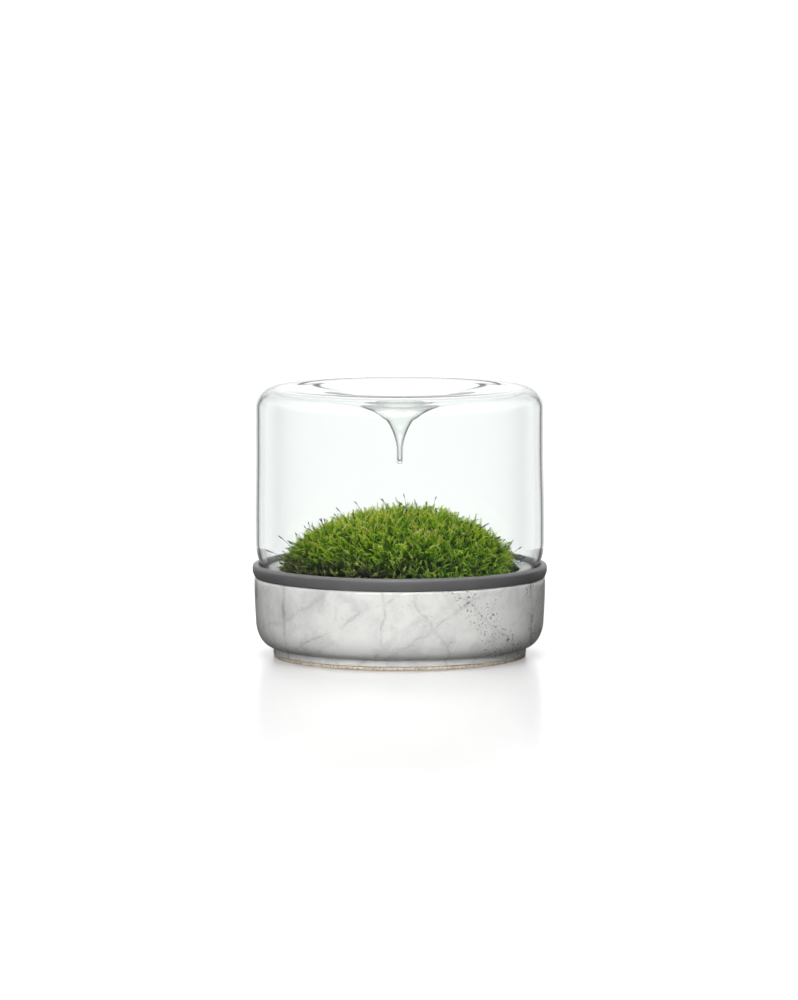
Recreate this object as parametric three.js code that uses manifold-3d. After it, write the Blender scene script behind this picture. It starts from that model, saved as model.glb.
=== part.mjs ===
// Glass plant terrarium: a mound of moss on soil in a round marble bowl, under a blown glass dome
// whose crown is drawn down into a long drip funnel over the moss.
//
// Millimetres, +Z up, the front towards -Y. The origin is the centre of the base, on the surface
// that the bowl stands on.

import * as THREE from 'three';
import { mergeVertices } from 'three/addons/utils/BufferGeometryUtils.js';
import Module from 'manifold-3d';

const wasm = await Module();
wasm.setup();

// ---------------------------------------------------------------------------------------------
// Driving dimensions
// ---------------------------------------------------------------------------------------------

const GAP = 0.3; // clear space between one piece and the next
const SEGMENTS = 40; // facets round each turned piece

// Foot pad: a disc of cork under the stone.
const PAD_R = 107.2;
const PAD_H = 2.4;

// Marble bowl.
const BOWL_FOOT_Z = PAD_H + GAP; // underside of the stone foot
const BOWL_FOOT_R = 107.5;
const BOWL_FOOT_EDGE = 0.7; // eased edge of the foot
const BOWL_BELLY_Z = 8.7; // where the rounded underside meets the upright foot
const BOWL_BELLY_R = 108.3; // radius where the rounded underside begins
const BOWL_CURVE_R = 14; // the underside is a quarter of an ellipse, this far out
const BOWL_CURVE_H = 22.3; // and this high
const BOWL_WALL_R = 123.6; // outside radius under the rim
const BOWL_WALL_LEAN = 0.3; // the upright wall gains this much radius
const BOWL_WALL_LEAN_H = 18; // by this far above the rounded underside
const BOWL_RIM_Z = 67.5;
const BOWL_RIM_EDGE = 1.6; // rounded outer edge of the rim
const BOWL_MOUTH_R = 113; // inside edge of the flat rim
const BOWL_LIP_R = 6.5; // rounded inside shoulder under the rim
const BOWL_INSIDE_Z = 34; // where the inside wall starts to turn into the floor
const BOWL_INSIDE_R = 104.5; // inside radius at that height
const BOWL_CORNER_R = 18; // rounding between the inside wall and the floor
const BOWL_FLOOR_Z = BOWL_INSIDE_Z - BOWL_CORNER_R;

// Seal ring between the stone and the glass.
const RING_FOOT_Z = BOWL_RIM_Z + GAP;
const RING_R = 125;
const RING_FOOT_R = 123.9; // the outer face leans in towards its foot
const RING_TOP_Z = 78.5;
const RING_SHELF_Z = 73; // the glass stands on this inner shelf
const RING_HOLE_R = 113;
const RING_EDGE = 0.7; // eased edges
const RING_LIP_R = 2.4; // rounded outer edge of the top, this far in
const RING_LIP_H = 2.8; // and this far down
const RING_SEAT_EDGE = 0.5; // eased mouth of the seat that the glass stands in

// Glass dome.
const GLASS_WALL = 3;
const GLASS_RIM_Z = RING_SHELF_Z + GAP;
const GLASS_NECK_R = 117.5; // outside of the in-turned neck
const GLASS_NECK_Z = 79; // top of the neck, where the glass turns outwards
const GLASS_BULGE_Z = 90; // where the wall stands upright above the neck
const GLASS_LOW_R = 122.8; // outside radius low on the wall
const GLASS_LOW_Z = 133; // the wall keeps that radius up to this height
const GLASS_HIGH_R = 122; // outside radius high on the wall
const GLASS_HIGH_Z = 155; // the wall keeps that radius above this height
const GLASS_TOP_Z = 228.6;
const GLASS_SHOULDER_R = 17;
const GLASS_RIM_EDGE = 0.6; // eased edges of the rim
const CROWN_TOP_R = 68; // the crown is flat from here out to the shoulder
const CROWN_UNDERSIDE_R = 74; // and so is its underside from here

// The funnel's underside is a horn: its radius shrinks by a factor of e each FUNNEL_PITCH down.
const FUNNEL_R = 55.7; // radius where the crown starts to dip
const FUNNEL_PITCH = 15.95;
const FUNNEL_SOFTNESS = 3; // how quickly the flat crown turns into the horn
const FUNNEL_BORE_END_R = 4.6; // the hollow ends where the horn is this thin, the rest is solid
const FUNNEL_TIP_R = 2.8;
const FUNNEL_TIP_Z = 163;
const FUNNEL_THIN_R = 3.9; // radius of the last ring of facets over the tip's straight end
const FUNNEL_RINGS = 8; // rings of facets from the flat crown down to the thin end

// Drainage gravel and soil.
const GRAVEL_TOP_Z = 27;
const PEBBLE_H = 3.4; // the highest pebble stands this far proud
const PEBBLE_H_MIN = 1.4;
const SOIL_BASE_Z = GRAVEL_TOP_Z + PEBBLE_H + GAP;
const SOIL_EDGE_Z = 63.4; // against the stone
const SOIL_STEP = 3.2; // rise from that edge to the foot of the moss
const SOIL_STEP_R = 96;
const SOIL_MOUND_R = 90;
const SOIL_MOUND_H = 21;
const SOIL_SLOPE_R = 101; // middle of the slope outside the step
const SOIL_RINGS = 12; // rings of facets from the step to the middle

// Moss mound, measured on the dense part that the shoots stand out of.
const MOSS_FOOT_Z = 67.4;
const MOSS_R = 97;
const MOSS_H = 51;
const MOSS_ROUNDNESS = 0.909; // powers that make the mound fuller than a ball
const MOSS_FLATNESS = 1.25;
const MOSS_LAST_TURN = 0.975; // the share of the quarter turn at which the mound stops
const MOSS_SEAT = 0.85; // between the moss and the soil under it
const MOSS_CLEFT = 0.0032; // half of the cleft between cushions, as a share of the mound
const MOSS_WANDER = 0.07; // how far the clefts wander, as a share of the mound
const HUMMOCK_BROAD = 1.7; // height of the broad hummocks
const HUMMOCK_NARROW = 0.9;
const CUSHION_RINGS = 6; // rings of shoots from a cushion's centre to its edge
const SHOOT_MIN = 5.5;
const SHOOT_MAX = 11.5;
const SHOOT_LEAN = 0.26; // sideways reach as a share of the height
const SHOOT_DRIFT = 0.35; // how far a shoot's tip strays from over the middle of its triangle
const SHOOT_LOWEST = 0.12; // the flattest direction that a shoot takes, as its rise

// Spore stalks that stand above the shoots.
const STALKS_PER_CUSHION = 6;
const STALK_R = 0.45;
const STALK_MIN = 15;
const STALK_MAX = 21;
const STALK_ROOT = 4; // depth of the root below the dense part
const STALK_BEND_MIN = 2; // sideways reach of a stalk's bend
const STALK_BEND_MAX = 5.5;
const STALK_TILT = 0.35; // how far a stalk's direction strays sideways
const STALK_LIFT = 0.5; // how much it turns up from square to the mound
const CAPSULE_R = 0.95;
const CAPSULE_L = 3.2;

// Each cushion's centre in the flattened mound, where the mound's foot is a circle of radius 1.
const CUSHIONS = [
  { name: 'moss_crest', u: 0.03, v: 0.03, colour: 0x86a83a },
  { name: 'moss_left', u: -0.7, v: -0.04, colour: 0x7da32f },
  { name: 'moss_front_left', u: -0.3, v: -0.66, colour: 0x4e5229 },
  { name: 'moss_front_right', u: 0.47, v: -0.55, colour: 0x4c6a22 },
  { name: 'moss_right', u: 0.74, v: 0.06, colour: 0x6d8a33 },
  { name: 'moss_back_right', u: 0.33, v: 0.68, colour: 0x587a28 },
  { name: 'moss_back_left', u: -0.42, v: 0.62, colour: 0x6a9230 },
];

// ---------------------------------------------------------------------------------------------
// Helpers
// ---------------------------------------------------------------------------------------------

// A repeatable stream of numbers between 0 and 1.
function seededRandom(seed) {
  let state = seed >>> 0;
  return () => {
    state = (state + 0x6d2b79f5) >>> 0;
    let mixed = Math.imul(state ^ (state >>> 15), 1 | state);
    mixed = (mixed + Math.imul(mixed ^ (mixed >>> 7), 61 | mixed)) ^ mixed;
    return ((mixed ^ (mixed >>> 14)) >>> 0) / 4294967296;
  };
}

function between(random, low, high) {
  return low + (high - low) * random();
}

function signedVolume(geometry) {
  const position = geometry.getAttribute('position');
  const index = geometry.getIndex();
  const a = new THREE.Vector3();
  const b = new THREE.Vector3();
  const c = new THREE.Vector3();
  let total = 0;
  for (let i = 0; i < index.count; i += 3) {
    a.fromBufferAttribute(position, index.getX(i));
    b.fromBufferAttribute(position, index.getX(i + 1));
    c.fromBufferAttribute(position, index.getX(i + 2));
    total += a.dot(b.cross(c)) / 6;
  }
  return total;
}

// Shared vertices, no faces without area, and every face pointing out.
function tidied(geometry) {
  geometry.deleteAttribute('normal');
  geometry.deleteAttribute('uv');
  const merged = mergeVertices(geometry, 1e-4);
  const inwards = signedVolume(merged) < 0;
  const from = merged.getIndex();
  const corners = [];
  for (let i = 0; i < from.count; i += 3) {
    const a = from.getX(i);
    const b = from.getX(i + 1);
    const c = from.getX(i + 2);
    if (a !== b && b !== c && c !== a) {
      corners.push(a, ...(inwards ? [c, b] : [b, c]));
    }
  }
  merged.setIndex(corners);
  return merged;
}

// A round solid turned from an outline of [radius, height] points.
function turned(outline) {
  const points = outline.map(([radius, height]) => new THREE.Vector2(radius, height));
  const lathe = new THREE.LatheGeometry(points, SEGMENTS);
  lathe.rotateX(Math.PI / 2); // from three.js's upright Y to +Z
  return tidied(lathe);
}

// Points along an elliptical arc, angles in degrees, from the outward radius towards +Z.
function arc([centreR, centreZ], [radiusR, radiusZ], from, to, steps) {
  return Array.from({ length: steps + 1 }, (_, i) => {
    const angle = THREE.MathUtils.degToRad(from + ((to - from) * i) / steps);
    return [centreR + radiusR * Math.cos(angle), centreZ + radiusZ * Math.sin(angle)];
  });
}

function toSolid(geometry) {
  const position = geometry.getAttribute('position');
  const mesh = new wasm.Mesh({
    numProp: 3,
    vertProperties: new Float32Array(position.array),
    triVerts: new Uint32Array(geometry.getIndex().array),
  });
  return new wasm.Manifold(mesh);
}

function toGeometry(solid) {
  const mesh = solid.getMesh();
  const geometry = new THREE.BufferGeometry();
  geometry.setAttribute('position', new THREE.BufferAttribute(mesh.vertProperties, 3));
  geometry.setIndex(new THREE.BufferAttribute(mesh.triVerts, 1));
  return geometry;
}

function piece(name, geometry, material) {
  const mesh = new THREE.Mesh(geometry, material);
  mesh.name = name;
  return mesh;
}

// ---------------------------------------------------------------------------------------------
// Materials
// ---------------------------------------------------------------------------------------------

function material(color, roughness, more = {}) {
  return new THREE.MeshStandardMaterial({ color, roughness, metalness: 0, ...more });
}

const marble = material(0xe4e4e0, 0.18);
const silicone = material(0x6b6b6b, 0.6);
const glass = material(0xe6f0ea, 0.03, { transparent: true, opacity: 0.3 });
const cork = material(0xb8a48e, 0.85);
const earth = material(0x3b3024, 0.95);
const stones = material(0x8e8a82, 0.8);

// ---------------------------------------------------------------------------------------------
// Turned pieces
// ---------------------------------------------------------------------------------------------

function footPad() {
  const outline = [
    [0, 0],
    [PAD_R, 0],
    [PAD_R, PAD_H],
    [0, PAD_H],
  ];
  return turned(outline);
}

// The inside radius of the bowl's floor corner at a height.
function cornerRadius(z) {
  const drop = (BOWL_INSIDE_Z - z) / BOWL_CORNER_R;
  return BOWL_INSIDE_R - BOWL_CORNER_R + BOWL_CORNER_R * Math.sqrt(Math.max(0, 1 - drop * drop));
}

function marbleBowl() {
  const bellyTop = BOWL_BELLY_Z + BOWL_CURVE_H;
  const lipZ = BOWL_RIM_Z - BOWL_LIP_R;
  const outline = [
    [0, BOWL_FOOT_Z],
    [BOWL_FOOT_R - BOWL_FOOT_EDGE, BOWL_FOOT_Z],
    [BOWL_FOOT_R, BOWL_FOOT_Z + BOWL_FOOT_EDGE],
    [BOWL_FOOT_R, BOWL_BELLY_Z],
    ...arc([BOWL_BELLY_R, bellyTop], [BOWL_CURVE_R, BOWL_CURVE_H], -90, 0, 6),
    [BOWL_WALL_R - BOWL_WALL_LEAN, bellyTop + BOWL_WALL_LEAN_H],
    [BOWL_WALL_R, BOWL_RIM_Z - BOWL_RIM_EDGE],
    [BOWL_WALL_R - BOWL_RIM_EDGE, BOWL_RIM_Z],
    ...arc([BOWL_MOUTH_R, lipZ], [BOWL_LIP_R, BOWL_LIP_R], 90, 180, 3),
    ...arc(
      [BOWL_INSIDE_R - BOWL_CORNER_R, BOWL_INSIDE_Z],
      [BOWL_CORNER_R, BOWL_CORNER_R],
      0,
      -90,
      4,
    ),
    [0, BOWL_FLOOR_Z],
  ];
  return turned(outline);
}

function sealRing() {
  const seatR = GLASS_NECK_R + GAP;
  const lip = [RING_R - RING_LIP_R, RING_TOP_Z - RING_LIP_H];
  const outline = [
    [RING_HOLE_R, RING_FOOT_Z],
    [RING_FOOT_R - RING_EDGE, RING_FOOT_Z],
    [RING_FOOT_R, RING_FOOT_Z + RING_EDGE],
    ...arc(lip, [RING_LIP_R, RING_LIP_H], 0, 90, 3),
    [RING_R - 2 * RING_LIP_R, RING_TOP_Z - RING_EDGE],
    [seatR + RING_SEAT_EDGE, RING_TOP_Z - RING_LIP_R],
    [seatR, RING_SHELF_Z + RING_EDGE],
    [seatR, RING_SHELF_Z],
    [RING_HOLE_R + RING_EDGE, RING_SHELF_Z],
    [RING_HOLE_R, RING_SHELF_Z - RING_EDGE],
    [RING_HOLE_R, RING_FOOT_Z],
  ];
  return turned(outline);
}

// Height of the crown's underside at a radius: flat outside FUNNEL_R, a horn inside it.
function crownUnderside(radius) {
  const dip = Math.log(1 + (FUNNEL_R / radius) ** FUNNEL_SOFTNESS) / FUNNEL_SOFTNESS;
  return GLASS_TOP_Z - GLASS_WALL - FUNNEL_PITCH * dip;
}

// The point one wall thickness above the crown's underside, square to it.
function crownTop(radius) {
  const step = 0.01;
  const slope = (crownUnderside(radius + step) - crownUnderside(radius - step)) / (2 * step);
  const length = Math.hypot(1, slope);
  return [
    radius - (GLASS_WALL * slope) / length,
    crownUnderside(radius) + GLASS_WALL / length,
  ];
}

// Radii from one to another, each the same share of the one before it.
function radiiBetween(from, to, count) {
  return Array.from({ length: count }, (_, i) => from * (to / from) ** (i / (count - 1)));
}

function glassDome() {
  const shoulder = [GLASS_HIGH_R - GLASS_SHOULDER_R, GLASS_TOP_Z - GLASS_SHOULDER_R];
  const insideShoulder = GLASS_SHOULDER_R - GLASS_WALL;
  const bulge = GLASS_LOW_R - GLASS_NECK_R;
  const insideNeck = GLASS_NECK_R - GLASS_WALL;
  const neckH = GLASS_BULGE_Z - GLASS_NECK_Z;
  const topRadii = radiiBetween(FUNNEL_BORE_END_R, CROWN_TOP_R, FUNNEL_RINGS);
  const undersideRadii = radiiBetween(CROWN_UNDERSIDE_R, FUNNEL_THIN_R, FUNNEL_RINGS + 1);
  const boreEnd = crownTop(FUNNEL_BORE_END_R);
  const outline = [
    [0, boreEnd[1] - 2 * boreEnd[0]],
    ...topRadii.map(crownTop),
    ...arc(shoulder, [GLASS_SHOULDER_R, GLASS_SHOULDER_R], 90, 0, 5),
    [GLASS_HIGH_R, GLASS_HIGH_Z],
    [GLASS_LOW_R, GLASS_LOW_Z],
    ...arc([GLASS_NECK_R, GLASS_BULGE_Z], [bulge, neckH], 0, -90, 4),
    [GLASS_NECK_R, GLASS_RIM_Z + GLASS_RIM_EDGE],
    [GLASS_NECK_R - GLASS_RIM_EDGE, GLASS_RIM_Z],
    [insideNeck + GLASS_RIM_EDGE, GLASS_RIM_Z],
    [insideNeck, GLASS_RIM_Z + GLASS_RIM_EDGE],
    ...arc([insideNeck, GLASS_BULGE_Z], [bulge, neckH - GLASS_WALL], -90, 0, 3),
    [GLASS_LOW_R - GLASS_WALL, GLASS_LOW_Z],
    [GLASS_HIGH_R - GLASS_WALL, GLASS_HIGH_Z],
    ...arc(shoulder, [insideShoulder, insideShoulder], 0, 90, 4),
    ...undersideRadii.map((radius) => [radius, crownUnderside(radius)]),
    [FUNNEL_TIP_R, crownUnderside(FUNNEL_TIP_R)],
    ...arc([0, FUNNEL_TIP_Z + FUNNEL_TIP_R], [FUNNEL_TIP_R, FUNNEL_TIP_R], 0, -90, 2),
  ];
  return turned(outline);
}

// Height of the soil's top at a radius.
function soilHeight(radius) {
  const outside = THREE.MathUtils.smoothstep(radius, SOIL_STEP_R, BOWL_INSIDE_R);
  const mound = Math.max(0, 1 - (radius / SOIL_MOUND_R) ** 2) ** 1.5;
  return SOIL_EDGE_Z + SOIL_STEP * (1 - outside) + SOIL_MOUND_H * mound;
}

function soilBed() {
  const wallR = BOWL_MOUTH_R - BOWL_LIP_R - GAP;
  const top = Array.from({ length: SOIL_RINGS }, (_, i) => {
    const radius = SOIL_STEP_R * (1 - i / SOIL_RINGS);
    return [radius, soilHeight(radius)];
  });
  const outline = [
    [0, SOIL_BASE_Z],
    [cornerRadius(SOIL_BASE_Z) - 3 * GAP, SOIL_BASE_Z],
    [BOWL_INSIDE_R - GAP, BOWL_INSIDE_Z],
    [wallR, BOWL_RIM_Z - BOWL_LIP_R],
    [wallR, SOIL_EDGE_Z],
    [SOIL_SLOPE_R, soilHeight(SOIL_SLOPE_R)],
    ...top,
    [0, soilHeight(0)],
  ];
  return turned(outline);
}

// ---------------------------------------------------------------------------------------------
// Surfaces raised into spikes
// ---------------------------------------------------------------------------------------------

// Triangles of a hexagonal net: ring k has 6k points, and ring 0 is the centre.
function netTriangles(rings) {
  const first = (ring) => (ring === 0 ? 0 : 1 + 3 * ring * (ring - 1));
  const at = (ring, place) => (ring === 0 ? 0 : first(ring) + (place % (6 * ring)));
  const triangles = [];
  for (let ring = 1; ring <= rings; ring += 1) {
    for (let side = 0; side < 6; side += 1) {
      for (let step = 0; step < ring; step += 1) {
        const outer = side * ring + step;
        const inner = side * (ring - 1) + step;
        triangles.push([at(ring, outer), at(ring, outer + 1), at(ring - 1, inner)]);
        if (step < ring - 1) {
          triangles.push([at(ring, outer + 1), at(ring - 1, inner + 1), at(ring - 1, inner)]);
        }
      }
    }
  }
  return triangles;
}

// A closed solid whose top is a net with a spike raised on each of its triangles.
//   place(share, angle) gives the point of the top at a share of the way to the edge
//   spike(a, b, c) gives the tip raised on a triangle
//   rims are functions of the angle, from the top's edge down to the underside's edge
//   underside(share, angle) gives its points, at undersideShares from near its edge inwards
function spikedSolid({ rings, place, spike, rims, underside, undersideShares }) {
  const points = [place(0, 0)];
  for (let ring = 1; ring <= rings; ring += 1) {
    for (let step = 0; step < 6 * ring; step += 1) {
      points.push(place(ring / rings, (Math.PI * 2 * step) / (6 * ring)));
    }
  }
  const faces = [];
  netTriangles(rings).forEach(([a, b, c]) => {
    const tip = points.push(spike(points[a], points[b], points[c])) - 1;
    faces.push(a, b, tip, b, c, tip, c, a, tip);
  });

  const round = 6 * rings;
  let edge = Array.from({ length: round }, (_, i) => 1 + 3 * rings * (rings - 1) + i);
  rims.forEach((rim) => {
    const next = edge.map((_, i) => points.push(rim((Math.PI * 2 * i) / round)) - 1);
    edge.forEach((corner, i) => {
      const j = (i + 1) % round;
      faces.push(corner, next[i], edge[j], edge[j], next[i], next[j]);
    });
    edge = next;
  });

  // the underside's rings have half as many points as its edge
  const half = round / 2;
  let inner = edge;
  undersideShares.forEach((share) => {
    const next = Array.from({ length: half }, (_, i) =>
      points.push(underside(share, (Math.PI * 2 * i) / half)) - 1);
    const ratio = inner.length / half;
    next.forEach((corner, i) => {
      const before = inner[ratio * i];
      const after = inner[(ratio * (i + 1)) % inner.length];
      const following = next[(i + 1) % half];
      if (ratio === 2) {
        const middle = inner[2 * i + 1];
        faces.push(before, corner, middle, middle, corner, following, middle, following, after);
      } else {
        faces.push(before, corner, after, after, corner, following);
      }
    });
    inner = next;
  });
  const centre = points.push(underside(0, 0)) - 1;
  inner.forEach((corner, i) => faces.push(corner, centre, inner[(i + 1) % half]));

  const geometry = new THREE.BufferGeometry();
  const flat = points.flatMap((point) => point.toArray());
  geometry.setAttribute('position', new THREE.BufferAttribute(new Float32Array(flat), 3));
  geometry.setIndex(faces);
  return tidied(geometry);
}

// ---------------------------------------------------------------------------------------------
// Drainage gravel
// ---------------------------------------------------------------------------------------------

function drainageGravel() {
  const random = seededRandom(11);
  const topR = cornerRadius(GRAVEL_TOP_Z) - 2 * GAP;
  const around = (radius, angle, z) =>
    new THREE.Vector3(radius * Math.cos(angle), radius * Math.sin(angle), z);
  const beltZ = (GRAVEL_TOP_Z + BOWL_FLOOR_Z) / 2;
  return spikedSolid({
    rings: 6,
    place: (share, angle) => around(topR * share, angle, GRAVEL_TOP_Z),
    spike: (a, b, c) => {
      const tip = a.clone().add(b).add(c).divideScalar(3);
      tip.z += between(random, PEBBLE_H_MIN, PEBBLE_H);
      return tip;
    },
    rims: [
      (angle) => around(cornerRadius(beltZ) - 3 * GAP, angle, beltZ),
      (angle) => around(BOWL_INSIDE_R - BOWL_CORNER_R - GAP, angle, BOWL_FLOOR_Z + GAP),
    ],
    underside: (share, angle) => around(topR * share, angle, BOWL_FLOOR_Z + GAP),
    undersideShares: [0.5],
  });
}

// ---------------------------------------------------------------------------------------------
// Moss
// ---------------------------------------------------------------------------------------------

// Low hummocks that keep the mound from being a perfect dome.
function hummock(x, y) {
  const broad = Math.sin(x / 17 + 0.6) * Math.cos(y / 15 - 0.9);
  const narrow = Math.sin(x / 8.5 - y / 11 + 2.1) * Math.cos(y / 7.5 + x / 14);
  return HUMMOCK_BROAD * broad + HUMMOCK_NARROW * narrow;
}

// The point of the dense mound under a point of the flattened mound. The flattened mound is drawn
// a little out of true, so that the clefts between the cushions wander.
function moundPoint(flatU, flatV) {
  const still = Math.min(1, flatU * flatU + flatV * flatV); // the foot stays a circle
  const u = flatU + MOSS_WANDER * Math.sin(7 * flatV + 0.8) * (1 - still);
  const v = flatV + MOSS_WANDER * Math.sin(6.2 * flatU - 0.5) * (1 - still);
  const share = Math.hypot(u, v);
  const turn = Math.min(share, 1) * MOSS_LAST_TURN * (Math.PI / 2);
  const radius = MOSS_R * Math.sin(turn) ** MOSS_ROUNDNESS;
  const across = share > 1e-9 ? radius / share : 0;
  const point = new THREE.Vector3(u * across, v * across, 0);
  const settled = Math.cos(turn) ** 0.5; // no hummocks at the mound's foot
  point.z = MOSS_FOOT_Z + MOSS_H * Math.cos(turn) ** MOSS_FLATNESS;
  point.z += hummock(point.x, point.y) * settled;
  return point;
}

// Outward direction of the smooth mound at a point of it.
function moundNormal(point) {
  const radius = Math.hypot(point.x, point.y);
  const level = Math.max(0, point.z - MOSS_FOOT_Z) / MOSS_H;
  const out = Math.min(1, radius / MOSS_R);
  const normal = new THREE.Vector3(point.x, point.y, 0);
  normal.multiplyScalar((out * out) / Math.max(radius, 1e-6));
  normal.z = Math.max(0.05, level);
  return normal.normalize();
}

// The way that the shoots lean, which drifts slowly over the mound.
function lean(point) {
  return new THREE.Vector3(
    Math.sin(point.y / 19 + 1.3) + 0.5 * Math.sin(point.x / 9),
    Math.cos(point.x / 23 - 0.4) + 0.5 * Math.sin(point.y / 10 + 2),
    0.5 * Math.sin((point.x + point.y) / 21),
  ).multiplyScalar(SHOOT_LEAN);
}

// How far a cushion reaches from its centre in one direction of the flattened mound.
function cushionReach(cushion, angle) {
  const x = Math.cos(angle);
  const y = Math.sin(angle);
  const along = cushion.u * x + cushion.v * y;
  const offset = cushion.u ** 2 + cushion.v ** 2 - 1;
  let reach = Math.sqrt(along * along - offset) - along;
  CUSHIONS.filter((other) => other !== cushion).forEach((other) => {
    const du = other.u - cushion.u;
    const dv = other.v - cushion.v;
    const span = Math.hypot(du, dv);
    const towards = (x * du + y * dv) / span;
    if (towards > 1e-3) {
      reach = Math.min(reach, (span / 2 - MOSS_CLEFT) / towards);
    }
  });
  return reach;
}

// One spore stalk: a bent stem with a capsule at its end, standing on a point of the mound.
function sporeStalk(point, random) {
  const length = between(random, STALK_MIN, STALK_MAX) + STALK_ROOT;
  const bend = between(random, STALK_BEND_MIN, STALK_BEND_MAX);
  const outline = [
    [0, 0],
    [STALK_R, 0],
    [STALK_R, length * 0.5],
    [STALK_R * 0.9, length - CAPSULE_L],
    [CAPSULE_R, length - CAPSULE_L * 0.6],
    [CAPSULE_R * 0.75, length - CAPSULE_L * 0.2],
    [0, length],
  ];
  const points = outline.map(([radius, height]) => new THREE.Vector2(radius, height));
  const stalk = new THREE.LatheGeometry(points, 4);
  const position = stalk.getAttribute('position');
  for (let i = 0; i < position.count; i += 1) {
    const height = position.getY(i) / length;
    position.setX(i, position.getX(i) + bend * height * height);
  }
  const up = moundNormal(point);
  up.z += STALK_LIFT;
  up.x += between(random, -STALK_TILT, STALK_TILT);
  up.y += between(random, -STALK_TILT, STALK_TILT);
  up.normalize();
  stalk.rotateY(between(random, 0, Math.PI * 2));
  const turn = new THREE.Quaternion().setFromUnitVectors(new THREE.Vector3(0, 1, 0), up);
  stalk.applyQuaternion(turn);
  const root = point.clone().addScaledVector(up, -STALK_ROOT);
  stalk.translate(root.x, root.y, root.z);
  return toSolid(tidied(stalk));
}

function mossCushion(cushion, order) {
  const random = seededRandom(101 + 17 * order);
  const flattened = (share, angle) => {
    const reach = share * cushionReach(cushion, angle);
    return [cushion.u + reach * Math.cos(angle), cushion.v + reach * Math.sin(angle)];
  };
  const surface = (share, angle) => moundPoint(...flattened(share, angle));
  const underside = (share, angle) => {
    const point = surface(share, angle);
    point.z = soilHeight(Math.hypot(point.x, point.y)) + MOSS_SEAT;
    return point;
  };
  const shoot = (a, b, c) => {
    const drift = () => 1 + between(random, -SHOOT_DRIFT, SHOOT_DRIFT);
    const weights = [drift(), drift(), drift()];
    const sum = weights[0] + weights[1] + weights[2];
    const tip = a.clone().multiplyScalar(weights[0] / sum);
    tip.addScaledVector(b, weights[1] / sum).addScaledVector(c, weights[2] / sum);
    const direction = moundNormal(tip).add(lean(tip));
    direction.z = Math.max(direction.z, SHOOT_LOWEST);
    return tip.addScaledVector(direction, between(random, SHOOT_MIN, SHOOT_MAX));
  };
  const cushionGeometry = spikedSolid({
    rings: CUSHION_RINGS,
    place: surface,
    spike: shoot,
    rims: [(angle) => underside(1, angle)],
    underside,
    undersideShares: [0.82, 0.56, 0.28],
  });
  let solid = toSolid(cushionGeometry);
  for (let i = 0; i < STALKS_PER_CUSHION; i += 1) {
    const angle = (Math.PI * 2 * (i + between(random, 0.2, 0.8))) / STALKS_PER_CUSHION;
    const foot = surface(between(random, 0.35, 0.8), angle);
    solid = solid.add(sporeStalk(foot, random));
  }
  return toGeometry(solid);
}

// ---------------------------------------------------------------------------------------------
// The terrarium
// ---------------------------------------------------------------------------------------------

const group = new THREE.Group();
group.add(piece('foot_pad', footPad(), cork));
group.add(piece('marble_base', marbleBowl(), marble));
group.add(piece('seal_ring', sealRing(), silicone));
group.add(piece('glass_dome', glassDome(), glass));
group.add(piece('drainage_gravel', drainageGravel(), stones));
group.add(piece('soil', soilBed(), earth));
CUSHIONS.forEach((cushion, order) => {
  group.add(piece(cushion.name, mossCushion(cushion, order), material(cushion.colour, 0.9)));
});

export default group;
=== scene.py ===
"""Glass plant terrarium.

A mound of moss on soil in a polished marble bowl, under a blown glass dome that stands in a
silicone ring and whose crown is drawn down into a drip funnel. Outlines are in millimetres, +Z up,
the front towards -Y. Meshes are made in metres.
"""

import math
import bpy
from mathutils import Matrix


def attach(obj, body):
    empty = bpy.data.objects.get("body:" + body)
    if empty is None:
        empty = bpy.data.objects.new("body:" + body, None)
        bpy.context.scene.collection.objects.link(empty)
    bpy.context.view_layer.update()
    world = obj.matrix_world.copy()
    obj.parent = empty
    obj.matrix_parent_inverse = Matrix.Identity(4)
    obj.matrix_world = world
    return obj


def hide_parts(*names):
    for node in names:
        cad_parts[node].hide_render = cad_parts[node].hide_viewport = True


bl_info = {
    "name": "Glass plant terrarium",
    "version": (1, 0, 0),
    "blender": (4, 5, 0),
    "location": "3D View > Sidebar > Terrarium",
    "description": "Builds a moss terrarium: marble bowl, silicone ring, glass dome, soil and moss",
    "category": "Object",
}

import bmesh
import bpy
import numpy as np

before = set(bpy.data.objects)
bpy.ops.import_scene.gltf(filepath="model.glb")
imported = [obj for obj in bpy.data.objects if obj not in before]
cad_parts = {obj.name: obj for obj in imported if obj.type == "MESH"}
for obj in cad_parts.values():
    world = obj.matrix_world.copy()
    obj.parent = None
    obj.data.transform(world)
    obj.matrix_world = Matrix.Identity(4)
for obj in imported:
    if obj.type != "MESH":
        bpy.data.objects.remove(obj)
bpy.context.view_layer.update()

MM = 0.001  # the sizes below are in millimetres
CLEARANCE = 0.3  # between one piece and the next

# Foot pad
PAD_R = 107.2
PAD_H = 2.4
PAD_EDGE = 0.3

# Marble bowl
BOWL_FOOT_Z = 2.7
BOWL_FOOT_R = 107.5
BOWL_FOOT_EDGE = 0.7
BOWL_BELLY_Z = 8.7
BOWL_BELLY_R = 108.3
BOWL_CURVE_R = 14
BOWL_CURVE_H = 22.3
BOWL_WALL_R = 123.6
BOWL_RIM_Z = 67.5
BOWL_RIM_EDGE = 2.2
BOWL_MOUTH_R = 113
BOWL_LIP_R = 6.5
BOWL_NOTCH = 0.25  # eased corner between the foot and the rounded underside
BOWL_COLLAR_Z = 76.2  # the stone stands up inside the ring as a white lip
BOWL_COLLAR_EDGE = 1.4
BOWL_COLLAR_FALL = 1.2  # the lip is this much lower at its inner edge
BOWL_LIP_END_R = 101.5
BOWL_INSIDE_Z = 34
BOWL_INSIDE_R = 104.5
BOWL_CORNER_R = 18
BOWL_FLOOR_Z = BOWL_INSIDE_Z - BOWL_CORNER_R

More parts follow.
